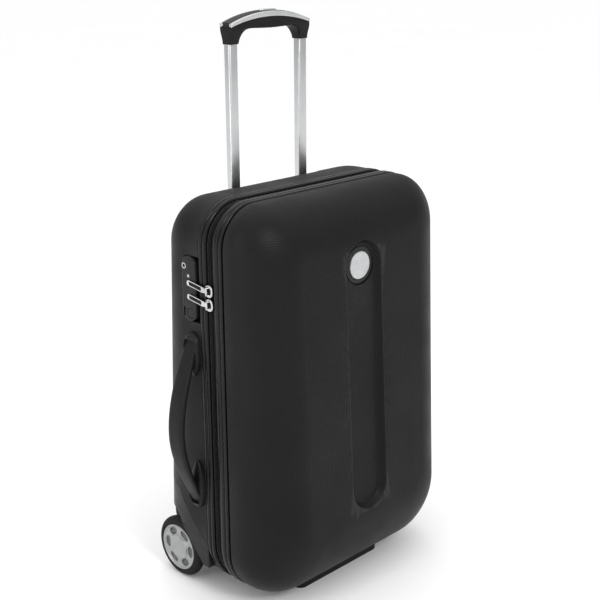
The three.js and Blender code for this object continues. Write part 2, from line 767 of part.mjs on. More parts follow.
function makeGrip() {
  const front = TUBE_Y - GRIP_DEPTH / 2;
  const rear = TUBE_Y + GRIP_DEPTH / 2;
  const sockets = [-TUBE_X, TUBE_X].map((x) => {
    return standing(tubeShape(INNER_TUBE, GAP), TUBE_TOP - 5, TUBE_TOP + 12 + GAP).translate(x, TUBE_Y, 0);
  });
  const rodHoles = [-TUBE_X, TUBE_X].map((x) => cylinderZ(3, TUBE_TOP, GRIP_END, x, TUBE_Y, 16));
  const barSlot = alongY(arcBand(68, -5, GRIP_CAP + 5 + BUTTON_TRAVEL + 1), TUBE_Y - 4, TUBE_Y + 4);
  const springPocket = cylinderZ(5, arcHeight(0, 19), GRIP_TOP, 0, TUBE_Y);
  const body = solid(alongY(gripOutline(), front, rear, 1.5));
  const stripBottom = GRIP_STRIP.drop + GRIP_STRIP.height + GAP;
  const ledge = arcBand(GRIP_HALF + 4, -10, stripBottom);
  const ledges = [
    alongY(ledge, front - 1, front + GRIP_STRIP.depth + GAP),
    alongY(ledge, rear - GRIP_STRIP.depth - GAP, rear + 1),
  ];
  add('grip_body', cut(body, ...sockets, ...rodHoles, barSlot, springPocket, ...ledges), RUBBER_BLACK);

  const strip = arcBand(GRIP_HALF - 1, GRIP_STRIP.drop, stripBottom - GAP);
  add('grip_trim_front', alongY(strip, front, front + GRIP_STRIP.depth), SILVER_PLASTIC);
  add('grip_trim_rear', alongY(strip, rear - GRIP_STRIP.depth, rear), SILVER_PLASTIC);
  const capFront = front + GRIP_STRIP.depth + GAP;
  const capRear = rear - GRIP_STRIP.depth - GAP;
  const band = arcBand(GRIP_HALF - 1, 0, GRIP_CAP - GAP);
  const holeOutline = roundedRect(28.8, 8.8, 4, 4);
  const buttonHole = standing(holeOutline, GRIP_END, GRIP_TOP + 5).translate(BUTTON_X, TUBE_Y, 0);
  add('grip_cap', cut(solid(alongY(band, capFront, capRear)), buttonHole), TRIM_BLACK);

  const buttonBottom = arcHeight(0, GRIP_CAP + 1) + GAP;
  const button = standing(roundedRect(28, 8, 3.8, 4), buttonBottom, GRIP_TOP + BUTTON_PROUD, 0.6);
  add('grip_button', button.translate(BUTTON_X, TUBE_Y, 0), CHROME);
  add('release_bar', alongY(arcBand(67, GRIP_CAP + 1, GRIP_CAP + 5), TUBE_Y - 3, TUBE_Y + 3), TRIM_BLACK);
  add('button_spring', makeSpring(arcHeight(0, 19) + GAP, barBottomAt(0) - GAP), STEEL);
}

function makeSpring(z0, z1) {
  const wire = 0.45;
  const radius = 3.6;
  const turns = 4;
  const coil = new THREE.Curve();
  coil.getPoint = (t, target = new THREE.Vector3()) => {
    const angle = t * turns * 2 * Math.PI;
    const z = z0 + wire + t * (z1 - z0 - 2 * wire);
    return target.set(radius * Math.cos(angle), TUBE_Y + radius * Math.sin(angle), z);
  };
  const section = new THREE.Shape();
  section.absarc(0, 0, wire, 0, 2 * Math.PI);
  const round = new THREE.Shape(section.getPoints(3).slice(0, -1));
  return new THREE.ExtrudeGeometry(round, { steps: 32, extrudePath: coil, bevelEnabled: false });
}

// ---------------------------------------------------------------- lock, zip sliders and pulls

function makeLock() {
  const outline = roundedRect(LOCK.width, LOCK.height, LOCK.width / 2 - 0.5, 5);
  const block = solid(acrossX(outline, -LOCK.face, -LOCK.back, 1.4).translate(0, LOCK.y, LOCK.z));
  const keyHole = cylinderX(KEY.radius + GAP, -200, -LOCK.back - 3, KEY.y, KEY.z);
  const buttonShape = (grow) => roundedRect(RELEASE.width + 2 * grow, RELEASE.height + 2 * grow, 4 + grow);
  const buttonHole = acrossX(buttonShape(GAP), -200, -LOCK.back - 1.5).translate(0, RELEASE.y, RELEASE.z);
  add('lock_housing', cut(block, keyHole, buttonHole), TRIM_BLACK);

  const keyFace = -LOCK.face - 0.2;
  const barrel = solid(cylinderX(KEY.radius, keyFace, -LOCK.back - 3 - GAP, KEY.y, KEY.z));
  const keyway = box([keyFace - 2, keyFace + 3], [KEY.y - 0.7, KEY.y + 0.7], [KEY.z - 2.6, KEY.z + 2.6]);
  add('lock_key_cylinder', cut(barrel, keyway), CHROME);

  const button = acrossX(buttonShape(0), -LOCK.face + 0.3, -LOCK.back - 4.5, 0.6);
  add('lock_release_button', button.translate(0, RELEASE.y, RELEASE.z), TRIM_BLACK);
}

// A slider rides on the teeth and carries two ears; the pull's barrel turns between them.
function makeSliders() {
  const barrelY = ZIP_MIDDLE + 2;
  const barrelX = -PULL_FACE + PULL_THICKNESS / 2;
  const barrelRadius = 1.5;
  const plateFace = barrelX + barrelRadius + GAP;
  const earInner = 4;
  const earOuter = 5.2;
  for (const [index, name] of ['upper', 'lower'].entries()) {
    const z = SLIDER_Z[index];
    const outline = roundedRect(14, 16, 5, 4);
    const plate = acrossX(outline, plateFace, -HALF_WIDTH - RIM_PROUD - GAP).translate(0, ZIP_MIDDLE, z);
    const keelEnds = [-HALF_WIDTH - 1.5, -HALF_WIDTH + 1.9];
    const keel = box(keelEnds, [ZIP_MIDDLE - 3, ZIP_MIDDLE + 3], [z - 6, z + 6]);
    const ears = [[-earOuter, -earInner], [earInner, earOuter]].map(([low, high]) => {
      return box([barrelX - 1.2, plateFace + 0.5], [barrelY - 1.5, barrelY + 1.5], [z + low, z + high]);
    });
    const slider = ears.reduce((rest, ear) => rest.add(solid(ear)), solid(plate).add(solid(keel)));
    add(`zip_slider_${name}`, slider, CHROME);

    // The tab slopes up from the barrel to the lock; its window holds a dark insert.
    const tilted = (shape, y) => shape.translate(0, y, 0).rotateX(PULL_TILT).translate(0, barrelY, z);
    const tabLength = 33;
    const tabMiddle = 3.6 + tabLength / 2;
    const tab = acrossX(roundedRect(tabLength, 7.4, 2.2), -PULL_FACE, -PULL_FACE + PULL_THICKNESS);
    const neck = box([-PULL_FACE, -PULL_FACE + PULL_THICKNESS], [barrelY, barrelY + 5.5], [z - 2.6, z + 3.4]);
    const barrel = cylinderZ(barrelRadius, z - 3.7, z + 3.7, barrelX, barrelY);
    const window = acrossX(roundedRect(24, 4.6, 1.4), -PULL_FACE - 5, -PULL_FACE + 5);
    const pull = solid(tilted(tab, tabMiddle)).add(solid(neck)).add(solid(barrel));
    add(`zip_pull_${name}`, cut(pull, tilted(window, tabMiddle + 1)), CHROME);
    const insert = roundedRect(24 - 2 * GAP, 4.6 - 2 * GAP, 1.1);
    const insertSolid = acrossX(insert, -PULL_FACE + 0.4, -PULL_FACE + PULL_THICKNESS - 0.4);
    add(`zip_pull_insert_${name}`, tilted(insertSolid, tabMiddle + 1), TRIM_BLACK);
  }
}

// ---------------------------------------------------------------- carry handle

function handleSection(z, grow, travel) {
  const up = z > HANDLE_PEAK;
  const reach = up ? HANDLE_TOP - HANDLE_PEAK : HANDLE_PEAK - HANDLE_BOTTOM;
  const along = Math.min(Math.abs(z - HANDLE_PEAK) / reach, 1);
  const bow = HANDLE_BOW * Math.cos(along * Math.PI / 2) ** 1.1;
  const halfWidth = 7 + 7 * Math.sqrt(1 - along ** 3) + grow;
  const thickness = 4.5 + 4.5 * Math.sqrt(1 - along ** 2);
  const outerX = -185.5 - bow - grow - travel;
  const innerX = -185.5 - bow + thickness + grow;
  const soft = Math.min(2.4, thickness / 2 - 0.2);
  const rounding = [
    [innerX - soft, halfWidth],
    [outerX + soft, halfWidth],
    [outerX + soft * 0.3, halfWidth - soft * 0.4],
    [outerX, halfWidth - soft * 1.4],
    [outerX, -halfWidth + soft * 1.4],
    [outerX + soft * 0.3, -halfWidth + soft * 0.4],
    [outerX + soft, -halfWidth],
    [innerX - soft, -halfWidth],
    [innerX - soft * 0.3, -halfWidth + soft * 0.4],
    [innerX, -halfWidth + soft * 1.4],
    [innerX, halfWidth - soft * 1.4],
    [innerX - soft * 0.3, halfWidth - soft * 0.4],
  ];
  return rounding.map(([x, y]) => new THREE.Vector3(x, HANDLE_Y + y, z));
}

function handleSolid(grow, travel) {
  const steps = 22;
  const rings = [];
  for (let step = 0; step <= steps; step += 1) {
    const turn = Math.PI * step / steps;
    const middle = (HANDLE_TOP + HANDLE_BOTTOM) / 2;
    const half = (HANDLE_TOP - HANDLE_BOTTOM) / 2;
    const z = middle + half * Math.cos(turn);
    const section = handleSection(z, grow, travel);
    section.forEach((point) => { point.z += grow * Math.cos(turn); });
    rings.push(section);
  }
  return skin(rings);
}

function ellipsoid(radii, z) {
  const geometry = new THREE.SphereGeometry(1, 24, 12);
  geometry.rotateX(Math.PI / 2);
  return geometry.scale(...radii).translate(-HALF_WIDTH - 0.4, HANDLE_Y, z);
}

// Each mount is a bulb with a low tail, slotted so that the handle's end can lift straight out.
function makeCarryHandle() {
  add('carry_handle', handleSolid(0, 0), RUBBER_BLACK);
  const clear = solid(handleSolid(0.6, 60));
  const caseSide = box([-HALF_WIDTH - 0.4, -100], [0, 200], [0, 600]);
  const mounts = [
    ['upper', HANDLE_TOP - 11, HANDLE_TOP - 22],
    ['lower', HANDLE_BOTTOM + 11, HANDLE_BOTTOM + 30],
  ];
  for (const [name, bulbZ, tailZ] of mounts) {
    const bulb = solid(ellipsoid([11, 13.6, 20], bulbZ));
    const tail = solid(ellipsoid([9, 12, 30], tailZ));
    const boss = cut(bulb.add(tail), caseSide);
    add(`handle_mount_${name}`, largestBody(boss.subtract(clear)), TRIM_BLACK);
  }
}

// ---------------------------------------------------------------- the whole case

makeFrontShell();
makeFrontRim();
makeZip('front', FRONT_RIM.rear + GAP, 21.2, 21.5, ZIP_MIDDLE - GAP / 2);
makeFoot();
makeRearRim();
makeZip('rear', 25, REAR_RIM.front - GAP, ZIP_MIDDLE + GAP / 2, 24.7);
makeLinings();
makeRearShell();
for (const [name, side] of [['right', 1], ['left', -1]]) {
  makeWheelHousing(name, side);
  makeWheel(name, side);
}
makeTrolley();
makeGrip();
makeLock();
makeSliders();
makeCarryHandle();

const bounds = new THREE.Box3().setFromObject(assembly);
const middle = bounds.getCenter(new THREE.Vector3());
assembly.position.set(-middle.x, -middle.y, -bounds.min.z);

export default assembly;
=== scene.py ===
from math import atan2, cos, hypot, pi, radians, sin, sqrt

import bmesh
import bpy
import numpy as np
from mathutils import Matrix, Vector


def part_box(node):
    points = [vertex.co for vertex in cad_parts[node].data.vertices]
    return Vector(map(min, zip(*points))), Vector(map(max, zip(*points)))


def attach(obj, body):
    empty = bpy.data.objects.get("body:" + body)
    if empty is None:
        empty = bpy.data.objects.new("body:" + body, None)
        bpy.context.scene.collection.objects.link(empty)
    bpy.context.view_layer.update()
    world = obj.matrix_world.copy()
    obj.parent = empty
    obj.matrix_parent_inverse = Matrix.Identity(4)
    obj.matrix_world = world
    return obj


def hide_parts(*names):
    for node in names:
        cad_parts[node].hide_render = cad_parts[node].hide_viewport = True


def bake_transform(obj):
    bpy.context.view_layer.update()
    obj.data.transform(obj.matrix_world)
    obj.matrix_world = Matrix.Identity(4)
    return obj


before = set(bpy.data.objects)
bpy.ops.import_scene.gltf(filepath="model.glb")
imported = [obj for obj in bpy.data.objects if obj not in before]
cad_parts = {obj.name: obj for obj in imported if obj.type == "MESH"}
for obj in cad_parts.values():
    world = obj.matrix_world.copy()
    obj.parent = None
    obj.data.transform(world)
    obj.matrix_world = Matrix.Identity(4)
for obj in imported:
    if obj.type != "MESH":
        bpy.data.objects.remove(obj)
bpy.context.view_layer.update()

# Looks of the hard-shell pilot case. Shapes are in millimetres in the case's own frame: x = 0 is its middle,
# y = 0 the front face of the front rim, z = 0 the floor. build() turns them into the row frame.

# ---------------- dimensions, in millimetres

MM = 0.001
THINNEST = 0.05
WALL = 3.0
GAP = 0.3

HALF_WIDTH = 180.0
CASE_BOTTOM, CASE_TOP = 12.0, 550.0
TOP_RADIUS, BOTTOM_RADIUS = 54.0, 74.0
CORNER_TIGHTENING = 0.6
SMALLEST_CORNER = 6.0
FRONT_DOME = {"lip": -2.5, "depth": 79.0, "edge": 68.0, "power": 1.9, "taper": 0.36, "rise": 1.5}
REAR_DOME = {"lip": 43.1, "depth": 104.0, "edge": 84.0, "power": 2.7, "taper": 0.32, "rise": 1.0}
REAR_RIM_FRONT = 29.6
ZIP_Y = 23.1
HINGE_SIDE = (108.0, 477.0)

CHANNEL_TOP, CHANNEL_BOTTOM = 457.0, 151.0
CHANNEL_PROFILE = [
    (44.0, -12.0), (36.6, -0.35), (34.7, 0.0), (34.0, 0.12), (33.3, 0.5), (32.7, 1.2), (32.1, 2.2),
    (29.2, 6.0), (28.4, 7.1), (27.4, 7.8), (26.0, 8.0),
]
BADGE = (0.0, 456.0)

WHEEL_X, WHEEL_Y, WHEEL_RADIUS = 171.0, 119.0, 43.5
AXLE = (WHEEL_Y, WHEEL_RADIUS)
HUB_RADIUS = 33.0
HOUSING_INNER, WELL_INNER, WELL_TOP, HOUSING_FOOT = 128.0, 152.0, 106.0, 44.5
CORNER_INNER, OUTSIDE = 127.7, 240.0
TUBE_X, TUBE_Y = 63.0, 104.0
TUBE_WALL = 1.2
OUTER_TUBE, MIDDLE_TUBE, INNER_TUBE = (21, 18), (18, 15), (15, 12)
POCKET_FLOOR = 524.0
BEZEL_TOP = POCKET_FLOOR + 4.3
TUBE_TOP = 730.0
GRIP_HALF, GRIP_TOP, GRIP_END, GRIP_DEPTH = 71.5, 770.0, 756.5, 24.0
GRIP_CAP = 3.0

LOCK_Y, LOCK_Z, LOCK_FACE, LOCK_BACK = 61.0, 438.0, 182.3, 173.6
RECESS_FLOOR, TRENCH_FLOOR = 172.4, 166.0
KEY = (69.0, 467.0)
RELEASE = (58.5, 406.0)
SLIDER_Z = {"upper": 442.0, "lower": 424.0}
PULL_FACE, PULL_TILT = 185.0, radians(8)

HANDLE_Y, HANDLE_TOP, HANDLE_BOTTOM, HANDLE_PEAK = 57.5, 372.0, 142.0, 248.0
HANDLE_BOW = 33.0

shell_low, shell_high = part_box("front_shell")
rim_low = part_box("rear_rim")[0]
ORIGIN = np.array([(shell_low.x + shell_high.x) / 2, rim_low.y - REAR_RIM_FRONT * MM, 0.0])


# ---------------- outlines

def unit(vectors):
    return vectors / np.maximum(np.linalg.norm(vectors, axis=1, keepdims=True), 1e-9)


def anticlockwise(points):
    after = np.roll(points, -1, 0)
    area = np.sum(points[:, 0] * after[:, 1] - points[:, 1] * after[:, 0])
    return points if area > 0 else points[::-1]


def shrink(points, distance):
    """A closed outline moved inwards by distance."""
    forward = unit(np.roll(points, -1, 0) - points)
    out_after = np.column_stack([forward[:, 1], -forward[:, 0]])
    out_before = np.roll(out_after, 1, 0)
    out = unit(out_before + out_after)
    miter = 1 / np.maximum(np.sum(out * out_after, axis=1), 0.5)
    return points - out * distance * miter[:, None]


def fillet(points, radius, steps=5, closed=True):
    """An outline with its corners rounded; radius is one number or one for each corner."""
    points = np.array(points, float)
    radii = np.broadcast_to(radius, len(points))
    rounded = []
    for i, corner in enumerate(points):
        if not closed and i in (0, len(points) - 1):
            rounded.append(corner)
            continue
        arms = []
        for neighbour in (points[i - 1], points[(i + 1) % len(points)]):
            length = np.linalg.norm(neighbour - corner)
            arms.append(corner + (neighbour - corner) / length * min(radii[i], 0.48 * length))
        for t in np.linspace(0, 1, steps + 1):
            rounded.append(arms[0] * (1 - t) ** 2 + 2 * t * (1 - t) * corner + arms[1] * t ** 2)
    return np.array(rounded)


def oblong(width, height, radius, at=(0.0, 0.0), steps=8):
    """A rectangle with round corners."""
    points = []
    for quarter, (sx, sy) in enumerate([(1, 1), (-1, 1), (-1, -1), (1, -1)]):
        centre = (at[0] + sx * (width / 2 - radius), at[1] + sy * (height / 2 - radius))
        for angle in (quarter + np.linspace(0, 1, steps + 1)) * pi / 2:
            points.append((centre[0] + radius * cos(angle), centre[1] + radius * sin(angle)))
    return np.array(points)


def circle(radius, at=(0.0, 0.0), segments=72):
    angles = np.arange(segments) * 2 * pi / segments
    return np.column_stack([at[0] + radius * np.cos(angles), at[1] + radius * np.sin(angles)])


def case_outline(inset, rise=1.0, corner=14):
    """The case seen from the front, moved inwards by inset (rise times as much at the bottom), as (x, z)."""
    arcs = []
    corners = [(1, 1, TOP_RADIUS), (-1, 1, TOP_RADIUS), (-1, -1, BOTTOM_RADIUS), (1, -1, BOTTOM_RADIUS)]
    for quarter, (sx, sz, full) in enumerate(corners):
        radius = max(full - CORNER_TIGHTENING * inset, SMALLEST_CORNER)
        x = sx * (HALF_WIDTH - inset - radius)
        z = CASE_TOP - inset - radius if sz > 0 else CASE_BOTTOM + rise * inset + radius
        angle = (quarter + np.linspace(0, 1, corner + 1)) * pi / 2
        arcs.append(np.column_stack([x + radius * np.cos(angle), z + radius * np.sin(angle)]))
    points = []
    for arc, following, steps in zip(arcs, arcs[1:] + arcs[:1], [30, 26, 30, 26]):
        share = np.linspace(0, 1, steps + 1)[1:-1, None]
        points += [arc, arc[-1] * (1 - share) + following[0] * share]
    return np.vstack(points)


# ---------------- solids: (vertices, faces) in millimetres

def loft(rings, closed=False):
    """Skins equally long rings; closed joins the last to the first, otherwise both ends are capped."""
    count = len(rings[0])
    faces = []
    for band in range(len(rings) if closed else len(rings) - 1):
        a, b = band * count, (band + 1) % len(rings) * count
        faces += [(a + i, a + (i + 1) % count, b + (i + 1) % count, b + i) for i in range(count)]
    if not closed:
        faces += [tuple(range(count))[::-1], tuple(range((len(rings) - 1) * count, len(rings) * count))]
    return np.vstack(rings), faces


def placed(flat, level, axis):
    """Outline points set at a level along axis: (y, z) for x, (x, z) for y and (x, y) for z."""
    return np.insert(flat, "xyz".index(axis), level, axis=1)


def slab(shape, low, high, axis, edge=0.6, steps=3):
    """An outline run along axis from low to high, with rounded edges."""
    shape = anticlockwise(np.array(shape, float))
    rings = []
    for t in np.linspace(0, pi / 2, steps + 1):
        rings.append((low + edge * (1 - cos(t)), edge * (1 - sin(t))))
    rings += [(low + high - level, inset) for level, inset in reversed(rings)]
    return loft([placed(shrink(shape, inset), level, axis) for level, inset in rings])


def hollow_slab(outer, inner, low, high, axis, edge=0.3, steps=2):
    """A slab with a hole right through it; both outlines have equally many points."""
    outer, inner = anticlockwise(outer), anticlockwise(inner)
    angles = np.linspace(0, pi / 2, steps + 1)
    turn = [(edge * (1 - cos(t)), edge * (1 - sin(t))) for t in angles]
    rings = [placed(shrink(outer, inset), low + rise, axis) for rise, inset in turn]
    rings += [placed(shrink(outer, inset), high - rise, axis) for rise, inset in reversed(turn)]
    rings += [placed(shrink(inner, -inset), high - rise, axis) for rise, inset in turn]
    rings += [placed(shrink(inner, -inset), low + rise, axis) for rise, inset in reversed(turn)]
    return loft(rings, closed=True)


def turned(profile, centre, side=1, closed=True, segments=112, axis="x"):
    """A profile of (level, radius) points turned about a line along axis through centre."""
    rings = []
    for level, radius in profile:
        rings.append(placed(circle(max(radius, THINNEST), centre, segments), side * level, axis))
    return loft(rings, closed)


def leaning(dome, side, depth, z):
    """The case is a little deeper at the bottom, so depth grows towards the floor."""
    height = (z - CASE_BOTTOM) / (CASE_TOP - CASE_BOTTOM)
    return dome["lip"] + side * depth * (1 + dome["taper"] * (0.5 - height))


def dome_rings(dome, side, wall, steps=22):
    rings = []
    reach = dome["edge"] - wall
    for angle in np.linspace(0, pi / 2, steps + 1):
        inset = wall + reach * (1 - max(cos(angle), 0) ** (2 / dome["power"]))
        flat = case_outline(inset, dome["rise"])
        depth = dome["depth"] - dome["edge"] + reach * sin(angle) ** (2 / dome["power"])
        rings.append(np.column_stack([flat[:, 0], leaning(dome, side, depth, flat[:, 1]), flat[:, 1]]))
    return rings


def dome_solid(dome, side, wall, reach=0.0):
    """One half of the case as a closed solid; its face narrows to a cap in the middle."""
    rings = []
    for inset, back in ((wall + 0.7, -reach), (wall, 0.7 - reach)):
        rings.append(placed(case_outline(inset, dome["rise"]), dome["lip"] + side * back, "y"))
    rings += dome_rings(dome, side, wall)
    face = rings[-1]
    middle = face.mean(axis=0)
    for share in (0.25, 0.5, 0.75):
        flat = face * (1 - share) + middle * share
        flat[:, 1] = leaning(dome, side, dome["depth"] - wall, flat[:, 2])
        rings.append(flat)
    return loft(rings)


def hoop(profile):
    """A closed profile of (inset, y) points run round the case's outline."""
    return loft([placed(case_outline(inset), y, "y") for inset, y in profile], closed=True)


def along_outline(inset, pitch, keep=lambda x, z: True):
    """Places every pitch along the outline: (x, z, outward angle)."""
    dense = case_outline(inset, corner=40)
    steps = np.linalg.norm(np.roll(dense, -1, 0) - dense, axis=1)
    lengths = np.concatenate([[0], np.cumsum(steps)])
    count = int(lengths[-1] // pitch)
    loop = np.vstack([dense, dense[:1]])
    places = []
    for distance in (np.arange(count) + 0.5) * lengths[-1] / count:
        x = np.interp(distance, lengths, loop[:, 0])
        z = np.interp(distance, lengths, loop[:, 1])
        i = min(int(np.searchsorted(lengths, distance)), len(dense)) - 1
        run = loop[i + 1] - loop[i]
        if keep(x, z):
            places.append((x, z, atan2(-run[0], run[1])))
    return places


def row_of_blocks(places, half_run, y_span, low, high, chamfer):
    """A small block at each place: half_run along the outline, from low to high outwards."""
    shapes = []
    y0, y1 = y_span
    for x, z, angle in places:
        out = np.array([cos(angle), 0, sin(angle)])
        run = np.array([-sin(angle), 0, cos(angle)])
        base = np.array([x, 0, z])
        rings = []
        for height, inset in ((low, 0.0), (high - chamfer, 0.0), (high, chamfer)):
            ring = []
            for r, y in ((-1, y0 + inset), (1, y0 + inset), (1, y1 - inset), (-1, y1 - inset)):
                ring.append(base + out * height + run * r * (half_run - inset) + np.array([0, y, 0]))
            rings.append(np.array(ring))
        shapes.append(loft(rings))
    return shapes


# ---------------- objects

def add(name, data):
    """A new object in the scene."""
    obj = bpy.data.objects.new(name, data)
    bpy.context.scene.collection.objects.link(obj)
    return obj


def build(name, *shapes):
    """An object from (vertices, faces) shapes in millimetres in the case frame."""
    vertices, faces, first = [], [], 0
    for points, polygons in shapes:
        vertices.append(points)
        faces += [tuple(first + i for i in polygon) for polygon in polygons]
        first += len(points)
    mesh = bpy.data.meshes.new(name)
    mesh.from_pydata((ORIGIN + np.vstack(vertices) * MM).tolist(), [], faces)
    work = bmesh.new()
    work.from_mesh(mesh)
    bmesh.ops.recalc_face_normals(work, faces=work.faces)
    work.to_mesh(mesh)
    work.free()
    return add(name, mesh)


def settle(obj):
    """Makes an object's modifiers part of its mesh."""
    bpy.context.view_layer.update()
    shaped = obj.evaluated_get(bpy.context.evaluated_depsgraph_get())
    shaped = bpy.data.meshes.new_from_object(shaped)
    obj.modifiers.clear()
    obj.data = shaped


def boolean(obj, operation, *tools):
    """Cuts, joins or intersects obj with tools, which are shapes or objects and get used up."""
    tools = [tool if isinstance(tool, bpy.types.Object) else build("tool", tool) for tool in tools]
    for tool in tools:
        step = obj.modifiers.new("step", "BOOLEAN")
        step.operation = operation
        step.solver = "EXACT"
        step.object = tool
    settle(obj)
    for tool in tools:
        bpy.data.objects.remove(tool)
    return obj


def piece(obj, look, body, *stands_for, sharp=32, slot=None):
    """Finishes an object: its material, smooth shading and body; the slot argument is not used."""
    obj.data.materials.clear()
    obj.data.materials.append(look)
    obj.data.shade_smooth()
    obj.data.set_sharp_from_angle(angle=radians(sharp))
    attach(obj, body)
    if stands_for:
        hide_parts(*stands_for)
    return obj


def steady_normals(obj):
    """Weights normals by face area, so that large flat faces stay flat."""
    step = obj.modifiers.new("step", "WEIGHTED_NORMAL")
    step.keep_sharp = True
    settle(obj)


# ---------------- materials

class Look:
    """A Principled material with textures in object space; sizes are in millimetres."""

    def __init__(self, name, bevel=0.0, metallic=0.0, specular=0.5, coat=0.0, sheen=0.0):
        self.material = bpy.data.materials.new(name)
        self.material.use_nodes = True
        self.tree = self.material.node_tree
        self.shader = self.tree.nodes["Principled BSDF"]
        constants = {"Metallic": metallic, "Specular IOR Level": specular, "Coat Weight": coat,
                     "Coat Roughness": 0.15, "Sheen Weight": sheen, "Sheen Roughness": 0.5}
        for key, value in constants.items():
            self.shader.inputs[key].default_value = value
        self.where = self.node("ShaderNodeTexCoord")
        self.bumped = None
        if bevel:
            self.bumped = self.node("ShaderNodeBevel", {"Radius": bevel * MM}, samples=4).outputs[0]
            self.tree.links.new(self.bumped, self.shader.inputs["Normal"])

    def node(self, kind, values=None, **settings):
        made = self.tree.nodes.new(kind)
        for key, value in settings.items():
            setattr(made, key, value)
        for key, value in (values or {}).items():
            if isinstance(value, bpy.types.NodeSocket):
                self.tree.links.new(value, made.inputs[key])
            else:
                made.inputs[key].default_value = value
        return made

    def math(self, operation, *values):
        return self.node("ShaderNodeMath", dict(enumerate(values)), operation=operation).outputs[0]

    def scaled(self, sizes):
        """Object coordinates divided by a size for each axis."""
        factors = tuple(1 / (size * MM) for size in sizes)
        values = {0: self.where.outputs["Object"], 1: factors}
        return self.node("ShaderNodeVectorMath", values, operation="MULTIPLY").outputs[0]

    def noise(self, *sizes, detail=3.0):
        sizes = sizes if len(sizes) == 3 else sizes * 3
        values = {"Vector": self.scaled(sizes), "Scale": 1.0, "Detail": detail}
        return self.node("ShaderNodeTexNoise", values).outputs[0]

    def spread(self, value, low, high, start=0.3, end=0.7):
        """A texture value from start to end turned into one from low to high."""
        values = {"Value": value, "From Min": start, "From Max": end, "To Min": low, "To Max": high}
        return self.node("ShaderNodeMapRange", values).outputs[0]

    def total(self, *parts):
        """A sum of texture values from (value, weight) pairs."""
        summed = 0.0
        for value, weight in parts:
            summed = self.math("MULTIPLY_ADD", value, weight, summed)
        return summed

    def colour(self, value, *stops):
        """Base colour from a 0 to 1 value through (place, level, tint) stops."""
        ramp = self.node("ShaderNodeValToRGB", {0: value})
        fill_ramp(ramp, stops)
        self.tree.links.new(ramp.outputs[0], self.shader.inputs["Base Color"])

    def rough(self, value):
        self.tree.links.new(value, self.shader.inputs["Roughness"])

    def bump(self, height, depth, strength=1.0):
        """Adds relief of that depth; later calls build on earlier ones."""
        values = {"Height": height, "Distance": depth * MM, "Strength": strength}
        if self.bumped is not None:
            values["Normal"] = self.bumped
        self.bumped = self.node("ShaderNodeBump", values).outputs[0]
        self.tree.links.new(self.bumped, self.shader.inputs["Normal"])

    def edges(self):
        """0 on flat ground, 1 on sharp convex edges."""
        point = self.node("ShaderNodeNewGeometry").outputs["Pointiness"]
        return self.spread(point, 0.0, 1.0, 0.51, 0.6)

    def pattern(self, pitch, operation):
        """Waves along both directions of every side of the object, joined by the operation."""
        values = {0: self.scaled([pitch] * 3), 3: 2 * pi}
        turns = self.node("ShaderNodeVectorMath", values, operation="SCALE").outputs[0]
        cosines = self.node("ShaderNodeVectorMath", {0: turns}, operation="COSINE").outputs[0]
        wave = self.node("ShaderNodeSeparateXYZ", {0: cosines}).outputs
        normal = self.where.outputs["Normal"]
        squares = self.node("ShaderNodeVectorMath", {0: normal, 1: normal}, operation="MULTIPLY").outputs[0]
        facing = self.node("ShaderNodeSeparateXYZ", {0: squares}).outputs
        return self.total(
            (facing[0], self.math(operation, wave[2], wave[1])),
            (facing[1], self.math(operation, wave[2], wave[0])),
            (facing[2], self.math(operation, wave[1], wave[0])),
        )


def fill_ramp(ramp, stops):
    """Colour ramp stops from (place, level) or (place, level, tint)."""
    elements = ramp.color_ramp.elements
    while len(elements) < len(stops):
        elements.new(0.5)
    for element, (place, *shade) in zip(elements, stops):
        element.position = place
        element.color = (*grey(*shade), 1.0)


def grey(level, tint=0.0):
    """A near-neutral colour; a positive tint is cooler."""
    return (level * (1 - tint), level, level * (1 + tint))


def make_shell_look():
    look = Look("shell_black_grained", bevel=0.5, specular=0.11)
    worn = look.math("MULTIPLY", look.edges(), look.noise(9))
    shade = look.total((look.noise(120, detail=4.0), 0.5), (worn, 1.0))
    look.colour(shade, (0.15, 0.0066, 0.03), (0.35, 0.0092, 0.01), (0.9, 0.024))
    grain = look.math("MULTIPLY", look.pattern(2.7, "SUBTRACT"), 0.5)
    patches = look.spread(look.noise(45, detail=5.0), 0.40, 0.50)
    look.rough(look.math("MULTIPLY_ADD", grain, 0.05, patches))
    look.bump(grain, 0.085)
    look.bump(look.noise(0.9, detail=2.0), 0.02, 0.7)
    return look.material


def make_cloth_look(name, level, pitch, depth, sheen, tint=0.0):
    look = Look(name, specular=0.25, sheen=sheen)
    weave = look.pattern(pitch, "MULTIPLY")
    uneven = look.total((look.noise(60, detail=5.0), 0.7), (weave, 0.12))
    look.colour(uneven, (0.15, level * 0.65, tint), (0.55, level * 1.35, tint))
    look.rough(look.spread(look.noise(8), 0.78, 0.92))
    look.bump(weave, depth)
    look.bump(look.noise(pitch * 0.4, detail=2.0), depth * 0.5, 0.6)
    return look.material


def layered(name, shade, stops, rough, relief, edge=0.0, **settings):
    """A material from noise: shade is (size, detail, weight) layers, rough (size, detail, low, high) and
    relief (size, detail, depth, strength). A size is one number or one for each axis."""
    look = Look(name, **settings)

    def noise(size, detail):
        return look.noise(*np.atleast_1d(size).tolist(), detail=float(detail))

    parts = [(noise(*layer[:2]), layer[2]) for layer in shade]
    if edge:
        parts.append((look.edges(), edge))
    look.colour(look.total(*parts), *stops)
    look.rough(look.spread(noise(*rough[:2]), *rough[2:]))
    look.bump(noise(*relief[:2]), *relief[2:])
    return look.material


def make_trim_look(name, level, rough):
    stops = [(0.15, level * 0.8), (0.4, level), (0.95, level * 3.2)]
    return layered(name, [(35, 3, 0.5)], stops, (12, 5, rough - 0.06, rough + 0.08), (0.7, 2, 0.025, 0.8),
                   edge=0.4, bevel=0.35, specular=0.2)


